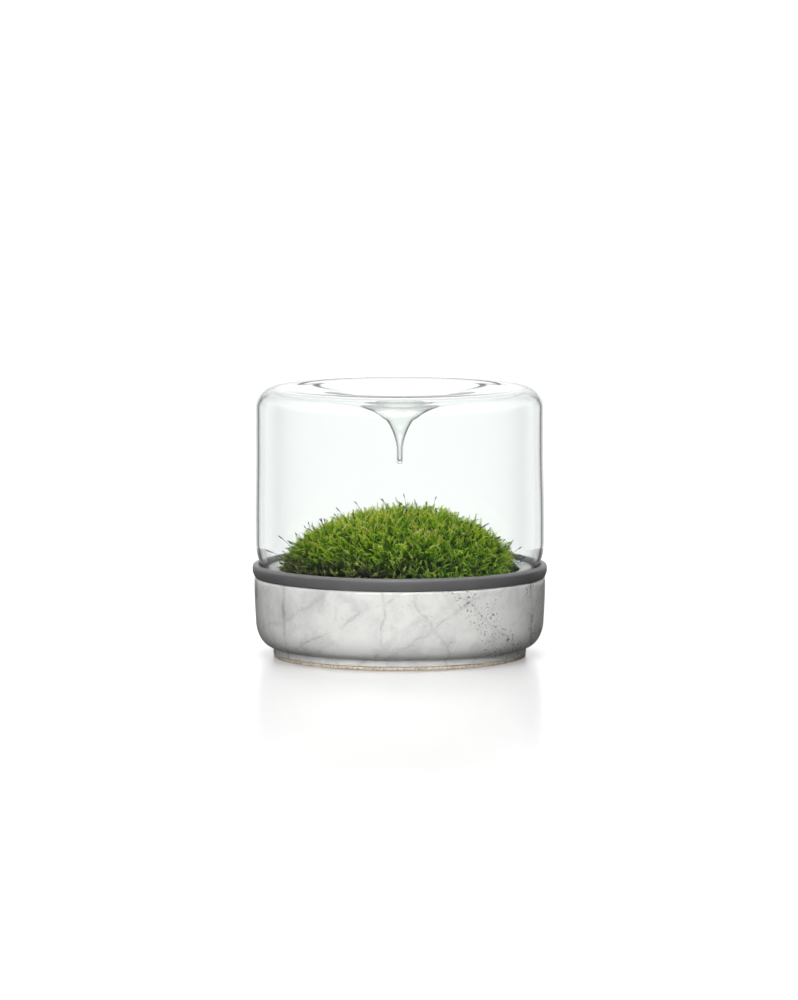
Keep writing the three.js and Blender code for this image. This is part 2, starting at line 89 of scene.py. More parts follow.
# Silicone ring
RING_FOOT_Z = 67.8
RING_R = 125
RING_FOOT_R = 123.9
RING_TOP_Z = 78.5
RING_SHELF_Z = 73
RING_HOLE_R = 113
RING_HOLE_EDGE = 0.4
RING_FOOT_EDGE = 1.3
RING_LEAN_H = 4.2  # the outer face leans out over this height
RING_LIP_R = 2.4  # rounded outer edge of the top, this far in
RING_LIP_H = 2.8  # and this far down
RING_TOP_W = 4.2  # the top ends this far in, where the seat's mouth is eased
RING_MOUTH_R = 1.0
RING_MOUTH_H = 0.8

# Glass dome
GLASS_RIM_Z = 73.3
GLASS_NECK_R = 117.5
GLASS_NECK_Z = 76.5
GLASS_BULGE_Z = 98
GLASS_LOW_R = 122.8
GLASS_HIGH_R = 122
GLASS_HIGH_Z = 155
GLASS_TOP_Z = 228.6
GLASS_SHOULDER_R = 17
SHOULDER_EXTRA = 0.8  # the glass is a little thicker in the bend of the shoulder
CROWN_FLAT_R = 92  # the crown is flat from here out
FUNNEL_R = 55.7
FUNNEL_PITCH = 15.95
FUNNEL_SOFTNESS = 3
FUNNEL_WALL = 1.1  # in the throat; the wall is this thin inside one radius, whole outside the other
FUNNEL_THIN_R, FUNNEL_WHOLE_R = 7, 26
FUNNEL_BORE_R = 1.6
FUNNEL_BORE_END_R = 3.2
FUNNEL_HORN_END_R = 3.1  # the horn's underside ends here, in the tip's straight end
FUNNEL_WAIST_Z = 172
FUNNEL_TIP_R = 2.8
FUNNEL_TIP_Z = 163
FUNNEL_SOLID = 6  # solid glass under the bore

# Soil and moss
GRAVEL_TOP_Z = 30.4
SOIL_BASE_Z = 30.7
SOIL_EDGE_Z = 63.4
SOIL_STEP = 3.2
SOIL_STEP_R = 96
SOIL_MOUND_R = 90
SOIL_MOUND_H = 21
SOIL_FOOT_R = 101.7
SOIL_OPEN_R = 84  # the soil lies open outside this radius, and is hidden under the moss inside it
MOSS_FOOT_Z = 67.4
MOSS_R = 97
MOSS_H = 51
MOSS_ROUNDNESS = 0.909
MOSS_FLATNESS = 1.25
MOSS_LAST_TURN = 0.975
MOSS_SEAT = 0.85
MOSS_CLEFT = 0.0032
MOSS_WANDER = 0.07
HUMMOCK_BROAD, HUMMOCK_NARROW = 1.7, 0.9  # heights of the mound's hummocks
BODY_SINK = 2.8  # the dense part lies this much under the mound that the shoots grow out of
BODY_PAINTED_SHADE = 0.13  # and is painted this dark beside the shoots, as shade deep between them
SHOOTS_TRIED, SHOOTS_MOST = 90000, 7600
SHOOT_KINDS = 9
STEM = 10.0  # length that each kind of shoot is drawn at
SHOOT_SINK, SHOOT_SINK_SPREAD = 3.3, 1.7  # depth of a shoot's foot, from clump to clump
STALKS_AT_RANDOM = 7  # on each cushion, besides those of the outline
GROWTH_SHARE = 0.26  # of the crest's shoots are new growth
GROWTH_AND_HIGHLIGHT = (3.0, 3.7, 2.4)  # and are this much brighter in red, green and blue, as paler new growth with painted highlight on top

# Stage
FLOOR_R = 700
FLOOR_Z = -0.3
LENS = 220.5
CAMERA_TILT = math.radians(5.66)
CAMERA_SIDE = -0.00068
CAMERA_AIM_Z = 0.1322

# piece, its CAD node, centre in the flattened mound, material slot
CUSHIONS = (
    ("crest_cushion", "moss_crest", 0.03, 0.03, "moss_bright"),
    ("left_cushion", "moss_left", -0.7, -0.04, "moss_bright"),
    ("front_left_cushion", "moss_front_left", -0.3, -0.66, "moss_old"),
    ("front_right_cushion", "moss_front_right", 0.47, -0.55, "moss_deep"),
    ("right_cushion", "moss_right", 0.74, 0.06, "moss_bright"),
    ("back_right_cushion", "moss_back_right", 0.33, 0.68, "moss_deep"),
    ("back_left_cushion", "moss_back_left", -0.42, 0.62, "moss_bright"),
)


def linear(hex_colour):
    """An sRGB hex colour as linear red, green and blue."""
    channels = [int(hex_colour[i : i + 2], 16) / 255 for i in (1, 3, 5)]
    return tuple(
        c / 12.92 if c <= 0.04045 else ((c + 0.055) / 1.055) ** 2.4 for c in channels
    )


# ------------------------------------------------------------------------------------------------
# Sizes and colours
# ------------------------------------------------------------------------------------------------


def length_property(name, description, default):
    """A size that the user may change, in metres."""
    return bpy.props.FloatProperty(
        name=name, description=description, default=default, min=0.0, unit="LENGTH"
    )


def colour_property(name, description, hex_colour):
    """A colour that the user may change."""
    return bpy.props.FloatVectorProperty(
        name=name,
        description=description,
        default=linear(hex_colour),
        min=0.0,
        max=1.0,
        subtype="COLOR",
    )


class TerrariumSizes(bpy.types.PropertyGroup):
    """Sizes that can change without moving one piece against another"""

    glass_wall: length_property("Glass wall", "Thickness of the blown glass", 0.003)
    glass_waviness: length_property(
        "Glass waviness", "How far the blown wall strays from round", 0.00012
    )
    shoot_spacing: length_property(
        "Shoot spacing", "Least distance between two moss shoots", 0.0019
    )
    shoot_length: length_property("Shoot length", "Mean length of a moss shoot", 0.0118)
    leaf_length: length_property("Leaf length", "Length of a moss leaf", 0.0013)
    leaf_width: length_property("Leaf width", "Width of a moss leaf", 0.00055)
    stalk_width: length_property("Stalk width", "Width of a spore stalk", 0.00038)
    pebble: length_property("Pebble", "Mean size of a drainage pebble", 0.0095)
    camera_distance: length_property(
        "Camera distance", "From the camera to the middle of the dome", 5.2
    )


class TerrariumColours(bpy.types.PropertyGroup):
    """Colours of the terrarium"""

    marble: colour_property("Marble", "Ground of the marble", "#F0F0ED")
    marble_cloud: colour_property("Marble cloud", "Soft clouds in it", "#C6C8C8")
    marble_vein: colour_property("Marble vein", "Veins and specks", "#5C5E5B")
    silicone: colour_property("Silicone", "The seal ring", "#666667")
    cork: colour_property("Cork", "Ground of the foot pad", "#E3D4BF")
    cork_grain: colour_property("Cork grain", "Dark grains in the pad", "#A08A74")
    glass: colour_property("Glass", "Faint tint of the glass", "#FCFEFD")
    soil: colour_property("Soil", "Damp potting soil", "#32281D")
    pebbles: colour_property("Pebbles", "Drainage pebbles", "#8E8A82")
    moss_bright: colour_property("Bright moss", "Young shoots", "#AEE745")
    moss_deep: colour_property("Deep moss", "Grown shoots", "#98CC3D")
    moss_old: colour_property("Old moss", "Olive-brown old shoots", "#747C42")
    stalks: colour_property("Stalks", "Spore stalks and capsules", "#77674F")


# ------------------------------------------------------------------------------------------------
# Mesh code
# ------------------------------------------------------------------------------------------------


def arc(centre, radii, start, end, steps):
    """Points of an elliptical arc, angles in degrees, from outwards towards +Z."""
    angles = np.radians(np.linspace(start, end, steps + 1))
    return np.column_stack(
        (centre[0] + radii[0] * np.cos(angles), centre[1] + radii[1] * np.sin(angles))
    ).tolist()


def skinned(rows, closed=False):
    """Points and faces of the skin over a stack of rings, where a ring of one point is a pole."""
    starts = np.cumsum([0] + [len(row) for row in rows])
    quads, triangles = [], []
    pairs = list(range(len(rows) - 1))
    for i in pairs + ([len(rows) - 1] if closed else []):
        j = (i + 1) % len(rows)
        upper = starts[i] + np.arange(len(rows[i]))
        lower = starts[j] + np.arange(len(rows[j]))
        if len(upper) > 1 and len(lower) > 1:
            quads.append(
                np.column_stack((upper, lower, np.roll(lower, -1), np.roll(upper, -1)))
            )
        elif len(lower) > 1:
            pole = np.full(len(lower), upper[0])
            triangles.append(np.column_stack((pole, lower, np.roll(lower, -1))))
        elif len(upper) > 1:
            pole = np.full(len(upper), lower[0])
            triangles.append(np.column_stack((upper, pole, np.roll(upper, -1))))
    groups = [np.concatenate(group) for group in (quads, triangles) if group]
    return np.concatenate(rows), outward(np.concatenate(rows), groups)


def outward(points, groups):
    """The faces turned so that the solid's faces point out."""
    volume = 0.0
    for group in groups:
        for k in range(1, group.shape[1] - 1):
            a, b, c = (points[group[:, n]] for n in (0, k, k + 1))
            volume += np.einsum("ij,ij->", a, np.cross(b, c))
    return groups if volume > 0 else [group[:, ::-1] for group in groups]


def turned(outline, segments, closed=False):
    """Points and faces of a round solid turned from an outline of [radius, height]."""
    angles = np.linspace(0, 2 * np.pi, segments, endpoint=False)
    rows = []
    for radius, height in outline:
        around = angles if radius > 1e-6 else angles[:1]
        rows.append(
            np.column_stack(
                (
                    radius * np.cos(around),
                    radius * np.sin(around),
                    np.full(len(around), height),
                )
            )
        )
    return skinned(rows, closed)


def joined(parts):
    """Points and faces of several meshes as one."""
    points, groups, count = [], [], 0
    for part_points, part_groups in parts:
        groups += [group + count for group in part_groups]
        points.append(part_points)
        count += len(part_points)
    return np.concatenate(points), groups


def add_piece(name, points, groups, material, node, crease=None):
    """Makes the mesh in metres and puts it in the place of its CAD node. A crease is in degrees."""
    mesh = bpy.data.meshes.new(name)
    corners = np.concatenate([group.ravel() for group in groups])
    sizes = np.concatenate([np.full(len(group), group.shape[1]) for group in groups])
    mesh.vertices.add(len(points))
    mesh.vertices.foreach_set("co", (points * MM).astype(np.float32).ravel())
    mesh.loops.add(len(corners))
    mesh.loops.foreach_set("vertex_index", corners.astype(np.int32))
    mesh.polygons.add(len(sizes))
    starts = np.cumsum(sizes) - sizes
    mesh.polygons.foreach_set("loop_start", starts.astype(np.int32))
    mesh.update(calc_edges=True)
    if crease is not None:
        mesh.polygons.foreach_set("use_smooth", np.ones(len(sizes), bool))
        mesh.set_sharp_from_angle(angle=math.radians(crease))
    mesh.materials.append(material)
    piece = bpy.data.objects.new(name, mesh)
    bpy.context.scene.collection.objects.link(piece)
    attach(piece, "root")
    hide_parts(node)
    return piece


def ripple(points, size, seed):
    """A smooth random field from -1 to 1 over the points, whose features have about that size."""
    random = np.random.default_rng(seed)
    total = np.zeros(len(points))
    for _ in range(7):
        wave = random.normal(size=3)
        wave *= random.uniform(0.7, 1.5) * math.tau / (2 * size) / np.linalg.norm(wave)
        total += np.sin(points @ wave + random.uniform(0, math.tau))
    return np.clip(total / 3.5, -1, 1)


def smoothstep(low, high, value):
    """A soft step from 0 at low to 1 at high, where low may be the larger."""
    t = np.clip((value - low) / (high - low), 0, 1)
    return t * t * (3 - 2 * t)


def spaced(points, gap, most):
    """Indices of points, taken in order, that keep the gap to all those taken before."""
    cells, taken = {}, []
    keys = np.floor(points / gap).astype(int)
    for i, (point, key) in enumerate(zip(points.tolist(), keys.tolist())):
        near = (
            cells.get((key[0] + x, key[1] + y, key[2] + z))
            for x in (-1, 0, 1)
            for y in (-1, 0, 1)
            for z in (-1, 0, 1)
        )
        if all(math.dist(point, other) >= gap for cell in near if cell for other in cell):
            cells.setdefault(tuple(key), []).append(point)
            taken.append(i)
            if len(taken) == most:
                break
    return np.array(taken)


def rounded_lump(subdivisions):
    """Points and triangles of a ball of radius 1."""
    shape = bmesh.new()
    bmesh.ops.create_icosphere(shape, subdivisions=subdivisions, radius=1.0)
    points = np.array([v.co for v in shape.verts])
    triangles = np.array([[v.index for v in face.verts] for face in shape.faces])
    shape.free()
    return points, triangles


def lumps(centres, sizes, flatness, roughness, subdivisions, seed):
    """Irregular stones or crumbs round the centres, as one mesh."""
    random = np.random.default_rng(seed)
    ball, triangles = rounded_lump(subdivisions)
    parts = []
    for centre, size in zip(centres, sizes):
        stretch = size / 2 * random.uniform((0.8, 0.8, flatness * 0.8), (1.1, 1.1, flatness))
        dent = 1 + roughness * ripple(ball, 0.9, int(random.integers(1 << 30)))
        turn = random.uniform(0, math.tau)
        spin = np.array(
            (
                (math.cos(turn), -math.sin(turn), 0),
                (math.sin(turn), math.cos(turn), 0),
                (0, 0, 1),
            )
        )
        parts.append(((ball * dent[:, None] * stretch) @ spin.T + centre, [triangles]))
    return joined(parts)


# ------------------------------------------------------------------------------------------------
# Materials
# ------------------------------------------------------------------------------------------------

SMOOTH = {"interpolation_type": "SMOOTHSTEP"}


def add_node(tree, kind, inputs=None, **settings):
    """Adds a node, sets it up, and sets or links its inputs. A node given as an input is linked by
    its first output."""
    node = tree.nodes.new(kind)
    for key, value in settings.items():
        setattr(node, key, value)
    for key, value in (inputs or {}).items():
        if isinstance(value, bpy.types.Node):
            value = value.outputs[0]
        if isinstance(value, bpy.types.NodeSocket):
            tree.links.new(value, node.inputs[key])
        else:
            node.inputs[key].default_value = value
    return node


def new_material(name):
    """A material and its emptied node tree."""
    material = bpy.data.materials.new(name)
    material.use_nodes = True
    tree = material.node_tree
    tree.nodes.clear()
    return material, tree


def with_alpha(colour):
    """The colour as a socket takes it, opaque."""
    return (*colour, 1.0)


def per_mm(size):
    """The texture scale, in metres, whose features have this size in millimetres."""
    return 1 / (size * MM)


# A vein follows a plane through the stone: normal, distance from the origin in mm, half width in
# mm, how far it strays in mm, strength of the line, strength of the dark specks beside it.
MARBLE_VEINS = (
    ((1.0, 0.05, 0.06), -97.5, 2.2, 3.0, 0.36, 0.2),
    ((0.66, 0.10, 0.75), 68.0, 1.4, 5.0, 0.22, 1.0),
    ((0.894, 0.0, 0.447), 76.4, 2.2, 7.0, 0.12, 1.0),
    ((1.0, 0.0, 0.05), 80.0, 1.8, 7.0, 0.1, 1.0),
    ((1.0, 0.1, 0.06), 108.0, 1.8, 5.0, 0.45, 0.8),
    ((1.0, -0.2, -0.1), 122.0, 1.8, 6.0, 0.45, 0.6),
    ((0.88, 0.0, 0.47), 42.5, 2.6, 8.0, 0.24, 0.3),
    ((-0.47, 0.1, 0.88), 8.0, 2.2, 10.0, 0.22, 0.2),
    ((-0.585, 0.0, 0.81), 88.0, 3.0, 9.0, 0.22, 0.2),
    ((-0.52, 0.0, 0.855), 57.0, 2.2, 10.0, 0.24, 0.3),
    ((1.0, 0.1, -0.1), -30.0, 2.2, 8.0, 0.22, 0.2),
    ((0.3, 0.9, 0.35), 88.0, 1.6, 10.0, 0.5, 0.8),
    ((-0.8, 0.6, -0.3), 70.0, 1.8, 12.0, 0.4, 0.4),
)
VEIN_STRAY = 2.2  # a vein strays this much further than its row says, as the noise rarely peaks
VEIN_HALO = 7  # the faint grey beside a vein is this many times wider
VEIN_HALO_STRENGTH = 0.3


def polished_marble(colours):
    """White marble, honed and polished: a bright, slightly deep white with a clear soft gloss, grey
    clouds that have no edge, and thin broken veins with dark specks beside them."""
    material, tree = new_material("polished_white_marble")
    place = add_node(tree, "ShaderNodeTexCoord").outputs["Object"]
    # sizes in mm: how the veins stray, where they break off, and the dark specks
    stray, breaks, specks = (
        add_node(
            tree,
            "ShaderNodeTexNoise",
            {"Vector": place, "Scale": per_mm(size), "Detail": detail, "Roughness": rough},
        )
        for size, detail, rough in ((38, 4.0, 0.5), (17, 5.0, 0.7), (2.4, 2.0, 0.5))
    )
    centred = add_node(
        tree,
        "ShaderNodeVectorMath",
        {0: stray.outputs["Color"], 1: (0.5, 0.5, 0.5)},
        operation="SUBTRACT",
    )
    drift = add_node(
        tree,
        "ShaderNodeVectorMath",
        {0: centred, 1: (0.03, 0.03, 0.03), 2: place},
        operation="MULTIPLY_ADD",
    )
    # sizes in mm: the soft clouds, and long faint veins that wander through the whole block
    clouds, winding = (
        add_node(
            tree,
            "ShaderNodeTexNoise",
            {"Vector": drift, "Scale": per_mm(size), "Detail": detail, "Roughness": rough},
        )
        for size, detail, rough in ((31, 6.0, 0.6), (64, 5.0, 0.58))
    )
    cloud_share = add_node(
        tree,
        "ShaderNodeMapRange",
        {"Value": clouds, "From Min": 0.44, "From Max": 0.74, "To Max": 0.6},
        **SMOOTH,
    )
    broken = add_node(
        tree,
        "ShaderNodeMapRange",
        {"Value": breaks, "From Min": 0.38, "From Max": 0.6, "To Min": 0.15},
    )
    speck_share = add_node(
        tree, "ShaderNodeMapRange", {"Value": specks, "From Min": 0.57, "From Max": 0.64}
    )
    beside = add_node(tree, "ShaderNodeMath", {0: winding, 1: 0.5}, operation="SUBTRACT")
    beside = add_node(tree, "ShaderNodeMath", {0: beside}, operation="ABSOLUTE")
    faint = add_node(
        tree,
        "ShaderNodeMapRange",
        {"Value": beside, "From Min": 0.055, "From Max": 0.0, "To Max": 0.17},
        **SMOOTH,
    )
    jitter = add_node(
        tree, "ShaderNodeVectorMath", {0: centred, 1: (0.9, 0.7, 1.1)}, operation="DOT_PRODUCT"
    ).outputs["Value"]

    total = add_node(tree, "ShaderNodeMath", {0: faint, 1: broken}, operation="MULTIPLY")
    for normal, distance, width, wander, strength, speckled in MARBLE_VEINS:
        length = math.hypot(*normal)
        unit = tuple(x / length for x in normal)
        depth = add_node(
            tree, "ShaderNodeVectorMath", {0: place, 1: unit}, operation="DOT_PRODUCT"
        ).outputs["Value"]
        strayed = add_node(
            tree,
            "ShaderNodeMath",
            {0: jitter, 1: wander * MM * VEIN_STRAY, 2: depth},
            operation="MULTIPLY_ADD",
        )
        away = add_node(
            tree, "ShaderNodeMath", {0: strayed, 1: distance * MM}, operation="SUBTRACT"
        )
        off = add_node(tree, "ShaderNodeMath", {0: away}, operation="ABSOLUTE")
        line, halo = (
            add_node(
                tree,
                "ShaderNodeMapRange",
                {"Value": off, "From Min": reach * MM, "From Max": 0.0, "To Max": most},
                **SMOOTH,
            )
            for reach, most in ((width, strength), (VEIN_HALO * width, 1.0))
        )
        near = add_node(tree, "ShaderNodeMath", {0: halo, 1: speckled}, operation="MULTIPLY")
        dots = add_node(tree, "ShaderNodeMath", {0: near, 1: speck_share}, operation="MULTIPLY")
        mist = add_node(
            tree,
            "ShaderNodeMath",
            {0: halo, 1: VEIN_HALO_STRENGTH * strength, 2: line},
            operation="MULTIPLY_ADD",
        )
        shown = add_node(tree, "ShaderNodeMath", {0: mist, 1: dots}, operation="MAXIMUM")
        patchy = add_node(tree, "ShaderNodeMath", {0: shown, 1: broken}, operation="MULTIPLY")
        total = add_node(tree, "ShaderNodeMath", {0: total, 1: patchy}, operation="MAXIMUM")

    shade = with_alpha(colours.marble)
    for share, other in ((cloud_share, colours.marble_cloud), (total, colours.marble_vein)):
        shade = add_node(
            tree, "ShaderNodeMix", {0: share, 6: shade, 7: with_alpha(other)}, data_type="RGBA"
        ).outputs[2]
    gloss = add_node(tree, "ShaderNodeMapRange", {"Value": total, "To Min": 0.16, "To Max": 0.3})
    shader = add_node(
        tree,
        "ShaderNodeBsdfPrincipled",
        {"Base Color": shade, "Roughness": gloss, "IOR": 1.52},
    )
    add_node(tree, "ShaderNodeOutputMaterial", {"Surface": shader})
    return material


def moulded_silicone(colours):
    """Grey silicone rubber from a matt mould: an even soft sheen with a fine dusty grain."""
    material, tree = new_material("moulded_grey_silicone")
    place = add_node(tree, "ShaderNodeTexCoord").outputs["Object"]
    # the mould's grain is about 0.1 mm, drawn at 0.7 mm so that it shows, and the dust lies in
    # patches of 24 mm
    grain, dust = (
        add_node(
            tree, "ShaderNodeTexNoise", {"Vector": place, "Scale": per_mm(size), "Detail": detail}
        )
        for size, detail in ((0.7, 3.0), (24, 5.0))
    )
    share = add_node(
        tree, "ShaderNodeMapRange", {"Value": dust, "From Min": 0.35, "From Max": 0.75}
    )
    paler = tuple(min(1, 1.16 * c) for c in colours.silicone)
    colour = add_node(
        tree,
        "ShaderNodeMix",
        {0: share, 6: with_alpha(colours.silicone), 7: with_alpha(paler)},
        data_type="RGBA",
    ).outputs[2]
    roughness = add_node(
        tree, "ShaderNodeMapRange", {"Value": grain, "To Min": 0.28, "To Max": 0.42}
    )
    bump = add_node(
        tree, "ShaderNodeBump", {"Height": grain, "Strength": 0.25, "Distance": 0.00008}
    )
    shader = add_node(
        tree,
        "ShaderNodeBsdfPrincipled",
        {"Base Color": colour, "Roughness": roughness, "IOR": 1.42, "Normal": bump},
    )
    add_node(tree, "ShaderNodeOutputMaterial", {"Surface": shader})
    return material


def pressed_cork(colours):
    """Pressed cork: warm tan granules with darker ones among them, quite dull."""
    material, tree = new_material("pressed_cork")
    place = add_node(tree, "ShaderNodeTexCoord").outputs["Object"]
    granules = add_node(
        tree, "ShaderNodeTexVoronoi", {"Vector": place, "Scale": per_mm(1.6)}
    ).outputs
    tone = add_node(tree, "ShaderNodeSeparateColor", {"Color": granules["Color"]})
    share = add_node(tree, "ShaderNodeMapRange", {"Value": tone, "From Min": 0.35, "To Max": 0.75})
    colour = add_node(
        tree,
        "ShaderNodeMix",
        {0: share, 6: with_alpha(colours.cork), 7: with_alpha(colours.cork_grain)},
        data_type="RGBA",
    ).outputs[2]
    bump = add_node(
        tree,
        "ShaderNodeBump",
        {"Height": granules["Distance"], "Strength": 0.5, "Distance": 0.0002},
    )
    roughness = add_node(
        tree, "ShaderNodeMapRange", {"Value": tone, "To Min": 0.75, "To Max": 0.92}
    )
    shader = add_node(
        tree,
        "ShaderNodeBsdfPrincipled",
        {"Base Color": colour, "Roughness": roughness, "IOR": 1.4, "Normal": bump},
    )
    add_node(tree, "ShaderNodeOutputMaterial", {"Surface": shader})
    return material


def blown_glass(colours):
    """Clear blown borosilicate glass: no colour but a faint green where it is seen edge on, and a
    fire-polished surface."""
    material, tree = new_material("blown_clear_glass")
    place = add_node(tree, "ShaderNodeTexCoord").outputs["Object"]
    cords = add_node(
        tree, "ShaderNodeTexNoise", {"Vector": place, "Scale": per_mm(60), "Detail": 1.0}
    )
    paler = tuple(c + (1 - c) * 0.5 for c in colours.glass)
    colour = add_node(
        tree,
        "ShaderNodeMix",
        {0: cords, 6: with_alpha(colours.glass), 7: with_alpha(paler)},
        data_type="RGBA",
    ).outputs[2]
    shader = add_node(
        tree,
        "ShaderNodeBsdfPrincipled",
        {"Base Color": colour, "Roughness": 0.0, "IOR": 1.47, "Transmission Weight": 1.0},
    )
    # what the glass takes up: next to nothing across the wall, a green grey along it
    taken_up = with_alpha(linear("#95C8B7"))
    depth = add_node(tree, "ShaderNodeVolumeAbsorption", {"Color": taken_up, "Density": 8.5})
    add_node(tree, "ShaderNodeOutputMaterial", {"Surface": shader, "Volume": depth})
    return material


def earthy(name, colour, size, dark, roughness):
    """River pebbles or damp soil: a dull mineral surface, a little rough, with darker and paler
    patches of that size in mm."""
    material, tree = new_material(name)
    place = add_node(tree, "ShaderNodeTexCoord").outputs["Object"]
    patches = add_node(
        tree,
        "ShaderNodeTexNoise",
        {"Vector": place, "Scale": per_mm(size), "Detail": 6.0, "Roughness": 0.65},
    )
    share = add_node(
        tree, "ShaderNodeMapRange", {"Value": patches, "From Min": 0.36, "From Max": 0.66}
    )
    shade = tuple(c * dark for c in colour)
    mixed = add_node(
        tree,
        "ShaderNodeMix",
        {0: share, 6: with_alpha(shade), 7: with_alpha(colour)},
        data_type="RGBA",
    ).outputs[2]
    bump = add_node(
        tree, "ShaderNodeBump", {"Height": patches, "Strength": 0.6, "Distance": 0.0004}
    )
    gloss = add_node(
        tree,
        "ShaderNodeMapRange",
        {"Value": patches, "To Min": roughness - 0.12, "To Max": roughness + 0.08},
    )
    shader = add_node(
        tree,
        "ShaderNodeBsdfPrincipled",
        {"Base Color": mixed, "Roughness": gloss, "IOR": 1.45, "Normal": bump},
    )
    add_node(tree, "ShaderNodeOutputMaterial", {"Surface": shader})
    return material


def living_moss(name):
    """Moss leaves: thin and hardly shining, paler at the shoot tips and dark below, after the
    colours that the shoots carry, which hold painted shade low in the moss and painted light at
    the tips, with fine mottling."""
    material, tree = new_material(name)
    place = add_node(tree, "ShaderNodeTexCoord").outputs["Object"]
    carried = add_node(tree, "ShaderNodeVertexColor", layer_name="shoot_colour")
    mottling = add_node(
        tree, "ShaderNodeTexNoise", {"Vector": place, "Scale": per_mm(2.6), "Detail": 2.0}
    )
    tone = add_node(
        tree,
        "ShaderNodeMapRange",
        {"Value": mottling, "From Min": 0.3, "From Max": 0.7, "To Min": 0.68, "To Max": 1.2},
    )
    colour = add_node(tree, "ShaderNodeVectorMath", {0: carried, "Scale": tone}, operation="SCALE")
    shader = add_node(
        tree,
        "ShaderNodeBsdfPrincipled",
        {"Base Color": colour, "Roughness": 0.55, "IOR": 1.38, "Specular IOR Level": 0.1},
    )
    add_node(tree, "ShaderNodeOutputMaterial", {"Surface": shader})
    return material


BACKDROP = 1.2  # a little overexposed
# brightness of the studio wall from the middle of a white panel to the dark gap beside it
STUDIO_PANEL = (
    (0.18, 0.98),
    (0.3, 0.92),
    (0.45, 0.86),
    (0.6, 0.76),
    (0.82, 0.6),
    (0.91, 0.33),
    (1.0, 0.02),
)
PANEL_TURN = math.radians(22.5)  # from the middle of a panel to the middle of the gap
KEY_LIGHT = (math.radians(7), math.radians(28))  # to the left of the front, and up
# Each light or flag: the direction that it is measured along, where on that it starts and is whole,
# and the brightness before and after. Above, softbox and flags are what gloss and glass mirror, and
# front, over and behind are what lights the object.
STUDIO_PARTS = {
    "above": ("Z", 0.2, 0.36, 0.0, 0.9),
    "flags": ("Y", 0.4, 0.84, 0.03, 1.0),
    "softbox": ("key", 0.88, 0.97, 0.0, 4.2),
    "front": ("key", 0.9, 0.99, 0.0, 9.0),
    "over": ("Z", 0.92, 0.985, 0.015, 13.0),
    "behind": ("Y", 0.8, 0.94, 0.0, 4.0),
}
# the dark gap between the table and the backdrop: its height, half its width without and with its
# soft edge, and its brightness
GAP_HEIGHT = math.sin(math.radians(7.3))
GAP_DARK, GAP_EDGE, GAP_LEVEL = 0.003, 0.010, 0.05
GUIDED = 0.55  # what is left of light that the glass has turned more than once
# the floor's own light, and its colour where it is seen and where it is mirrored
FLOOR_GLOW = 0.21
FLOOR_SEEN, FLOOR_MIRRORED = "#CBCBCB", "#303030"


def white_acrylic():
    """A white acrylic sheet: overexposed, as on a studio table, with a blurred reflection. It sends
    less light up at the object than it shows."""
    material, tree = new_material("white_acrylic_sheet")
    path = add_node(tree, "ShaderNodeLightPath").outputs
    share = add_node(
        tree,
        "ShaderNodeMath",
        {0: path["Diffuse Depth"], 1: path["Glossy Depth"]},
        operation="ADD",
        use_clamp=True,
    )
    colour = add_node(
        tree,
        "ShaderNodeMix",
        {0: share, 6: with_alpha(linear(FLOOR_SEEN)), 7: with_alpha(linear(FLOOR_MIRRORED))},
        data_type="RGBA",
    ).outputs[2]
    glow = add_node(
        tree, "ShaderNodeMapRange", {"Value": share, "To Min": FLOOR_GLOW, "To Max": 0.0}
    )
    shader = add_node(
        tree,
        "ShaderNodeBsdfPrincipled",
        {
            "Base Color": colour,
            "Roughness": 0.2,
            "IOR": 1.45,
            "Emission Color": (1, 1, 1, 1),
            "Emission Strength": glow,
        },
    )
    add_node(tree, "ShaderNodeOutputMaterial", {"Surface": shader})
    return material


